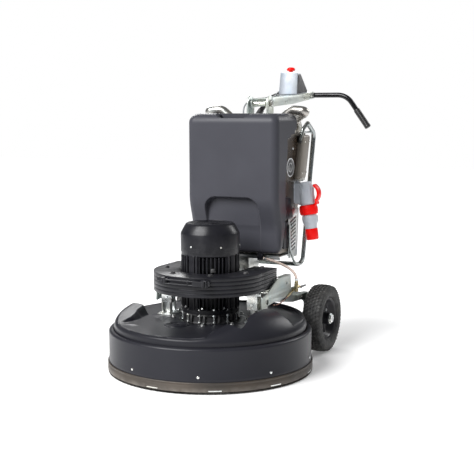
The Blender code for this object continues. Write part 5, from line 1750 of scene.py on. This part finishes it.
def build_controls(face_up):
    stop = at(0, 0.843, 1.244)
    ring = bmesh.new()
    turned(ring, [(0.0098, 0.0004), (0.0205, 0.0004), (0.0205, 0.0016), (0.0190, 0.0026), (0.0098, 0.0026)],
           Matrix.Translation(stop), 48)
    piece("stop_ring", ring, YELLOW, "handle")
    cap = bmesh.new()
    turned(cap, [(0, -0.0060), (0.0090, -0.0060), (0.0090, 0.0110), (0.0170, 0.0120), (0.0197, 0.0150),
                 (0.0200, 0.0195),
                 (0.0180, 0.0240), (0.0130, 0.0270), (0.0060, 0.0283), (0, 0.0285)],
                 Matrix.Translation(stop), 56)
    piece("stop_mushroom", cap, RED, "stop_button", ["emergency_stop"], 50)
    along = Vector((0, 0.950 - 0.862, 1.164 - 1.244)) * 0.35
    knob, ticks = bmesh.new(), bmesh.new()
    place = at(-0.018, 0.862, 1.244) + along
    matrix = placed(place, face_up)
    turned(knob, [(0, 0.0010), (0.0130, 0.0010), (0.0138, 0.0020), (0.0126, 0.0150), (0.0112, 0.0168),
                  (0, 0.0170)], matrix, 48)
    for i in range(16):
        turn = matrix @ Matrix.Rotation(math.tau * i / 16, 4, "Z")
        box(knob, (0.0118, -0.0009, 0.0030), (0.0141, 0.0009, 0.0145), 0.0004, turn)
    piece("knob_body", knob, RUBBER, "speed_dial", ["speed_knob"])
    pointer = bmesh.new()
    box(pointer, (-0.0008, 0.0020, 0.0166), (0.0008, 0.0110, 0.01705), 0.0003, matrix)
    piece("knob_pointer", pointer, CREAM, "speed_dial")
    for i in range(11):
        turn = math.radians(-150 + 30 * i + 90)
        middle = matrix @ Matrix.Rotation(turn, 4, "Z")
        box(ticks, (0.0148, -0.0004, 0.0004), (0.0168, 0.0004, 0.0012), 0.0002, middle)
    piece("dial_ticks", ticks, CREAM, "handle")
    button = bmesh.new()
    place = at(0.020, 0.862, 1.244) + along
    matrix = placed(place, face_up)
    turned(button, [(0, -0.0080), (0.0080, -0.0080), (0.0080, 0.0040), (0.0072, 0.0050), (0.0050, 0.0046),
                    (0, 0.0044)],
           matrix, 40)
    piece("start_cap", button, GREY, "start", ["start_button"])


build_clevis()
build_handle_arm()
build_bar()
build_pod()


# --- water valve and what stays from the frame ----------------------------------------------------
def build_valve():
    x, y, z = VALVE
    shape = bmesh.new()
    outline = [(0, -0.0230), (0.0075, -0.0230), (0.0090, -0.0215), (0.0090, -0.0130), (0.0080, -0.0110),
               (0.0090, -0.0092),
               (0.0090, 0.0092), (0.0080, 0.0110), (0.0090, 0.0130), (0.0090, 0.0160), (0.0078, 0.0170),
               (0.0084, 0.0185),
               (0.0078, 0.0200), (0.0084, 0.0215), (0.0075, 0.0230), (0, 0.0230)]
    turned(shape, outline, Matrix.Translation(at(x, y, z)), 40)
    turned(shape, [(0, -0.0088), (0.0100, -0.0088), (0.0108, -0.0078), (0.0108, 0.0078), (0.0100, 0.0088),
                   (0, 0.0088)],
           Matrix.Translation(at(x, y, z)), 6)
    rod(shape, at(x, y, z), at(x + 0.0205, y, z), 0.0049, 28, 0.0005)
    rod(shape, at(x + 0.0085, y, z), at(x + 0.0130, y, z), 0.0068, 6)
    rod(shape, at(x + 0.0005, y, z - 0.0140), at(x - 0.0138, y, z - 0.0140), 0.0058, 28)
    piece("valve_casting", shape, BRASS, "chassis", ["valve_body"])
    pipe = bmesh.new()
    route = [(0.2535, 0.300, 0.301), (0.2535, 0.288, 0.2995), (0.2530, 0.250, 0.2885),
             (0.2525, 0.222, 0.2800)]
    tube(pipe, bent([at(*p) for p in route], 0.03, 8), 0.0038, 18)
    rod(pipe, at(0.2530, 0.262, 0.2920), at(0.2528, 0.240, 0.2855), 0.0050, 6)
    piece("outlet_pipe", pipe, BRASS, "chassis")
    line = bmesh.new()
    route = [(0.2525, 0.223, 0.2803), (0.2520, 0.170, 0.2690), (0.2515, 0.120, 0.2660),
             (0.2510, 0.080, 0.2700)]
    tube(line, smooth([at(*p) for p in route], 0.006), 0.0028, 16)
    piece("outlet_line", line, COPPER, "chassis")
    clips = bmesh.new()
    for y_clip, z_clip in ((0.196, 0.2745), (0.096, 0.2680)):
        box(clips, (0.2482, y_clip - 0.003, z_clip - 0.0045), (0.2560, y_clip + 0.003, z_clip + 0.0045),
            0.0012)
    piece("outlet_clips", clips, RUBBER, "chassis")
    lever = bmesh.new()
    bar = [(y - 0.0060, z - 0.0060), (y + 0.0060, z - 0.0058), (y + 0.0200, z - 0.0040),
           (y + 0.0500, z - 0.0045),
           (y + 0.0500, z + 0.0045), (y + 0.0200, z + 0.0040), (y + 0.0060, z + 0.0058),
           (y - 0.0060, z + 0.0060)]
    side_plate(lever, [rounded(bar, 0.003)], x + 0.021 + GAP + 0.0015, 0.0028, 0.0008)
    piece("lever_bar", lever, DARK_STEEL, "valve_handle", ["valve_lever"])


build_valve()
KEPT = {
    "rotor_shaft": STEEL,
    "cooling_fan": RUBBER,
    "planet_carrier": CAST,
    "ring_gear": STEEL,
    "inverter": GREY,
}
for i in (1, 2, 3):
    KEPT[f"disc_spindle_{i}"] = STEEL
    KEPT[f"grinding_disc_{i}"] = CAST
for name, paint in KEPT.items():
    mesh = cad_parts[name].data
    mesh.materials.clear()
    mesh.materials.append(paint)
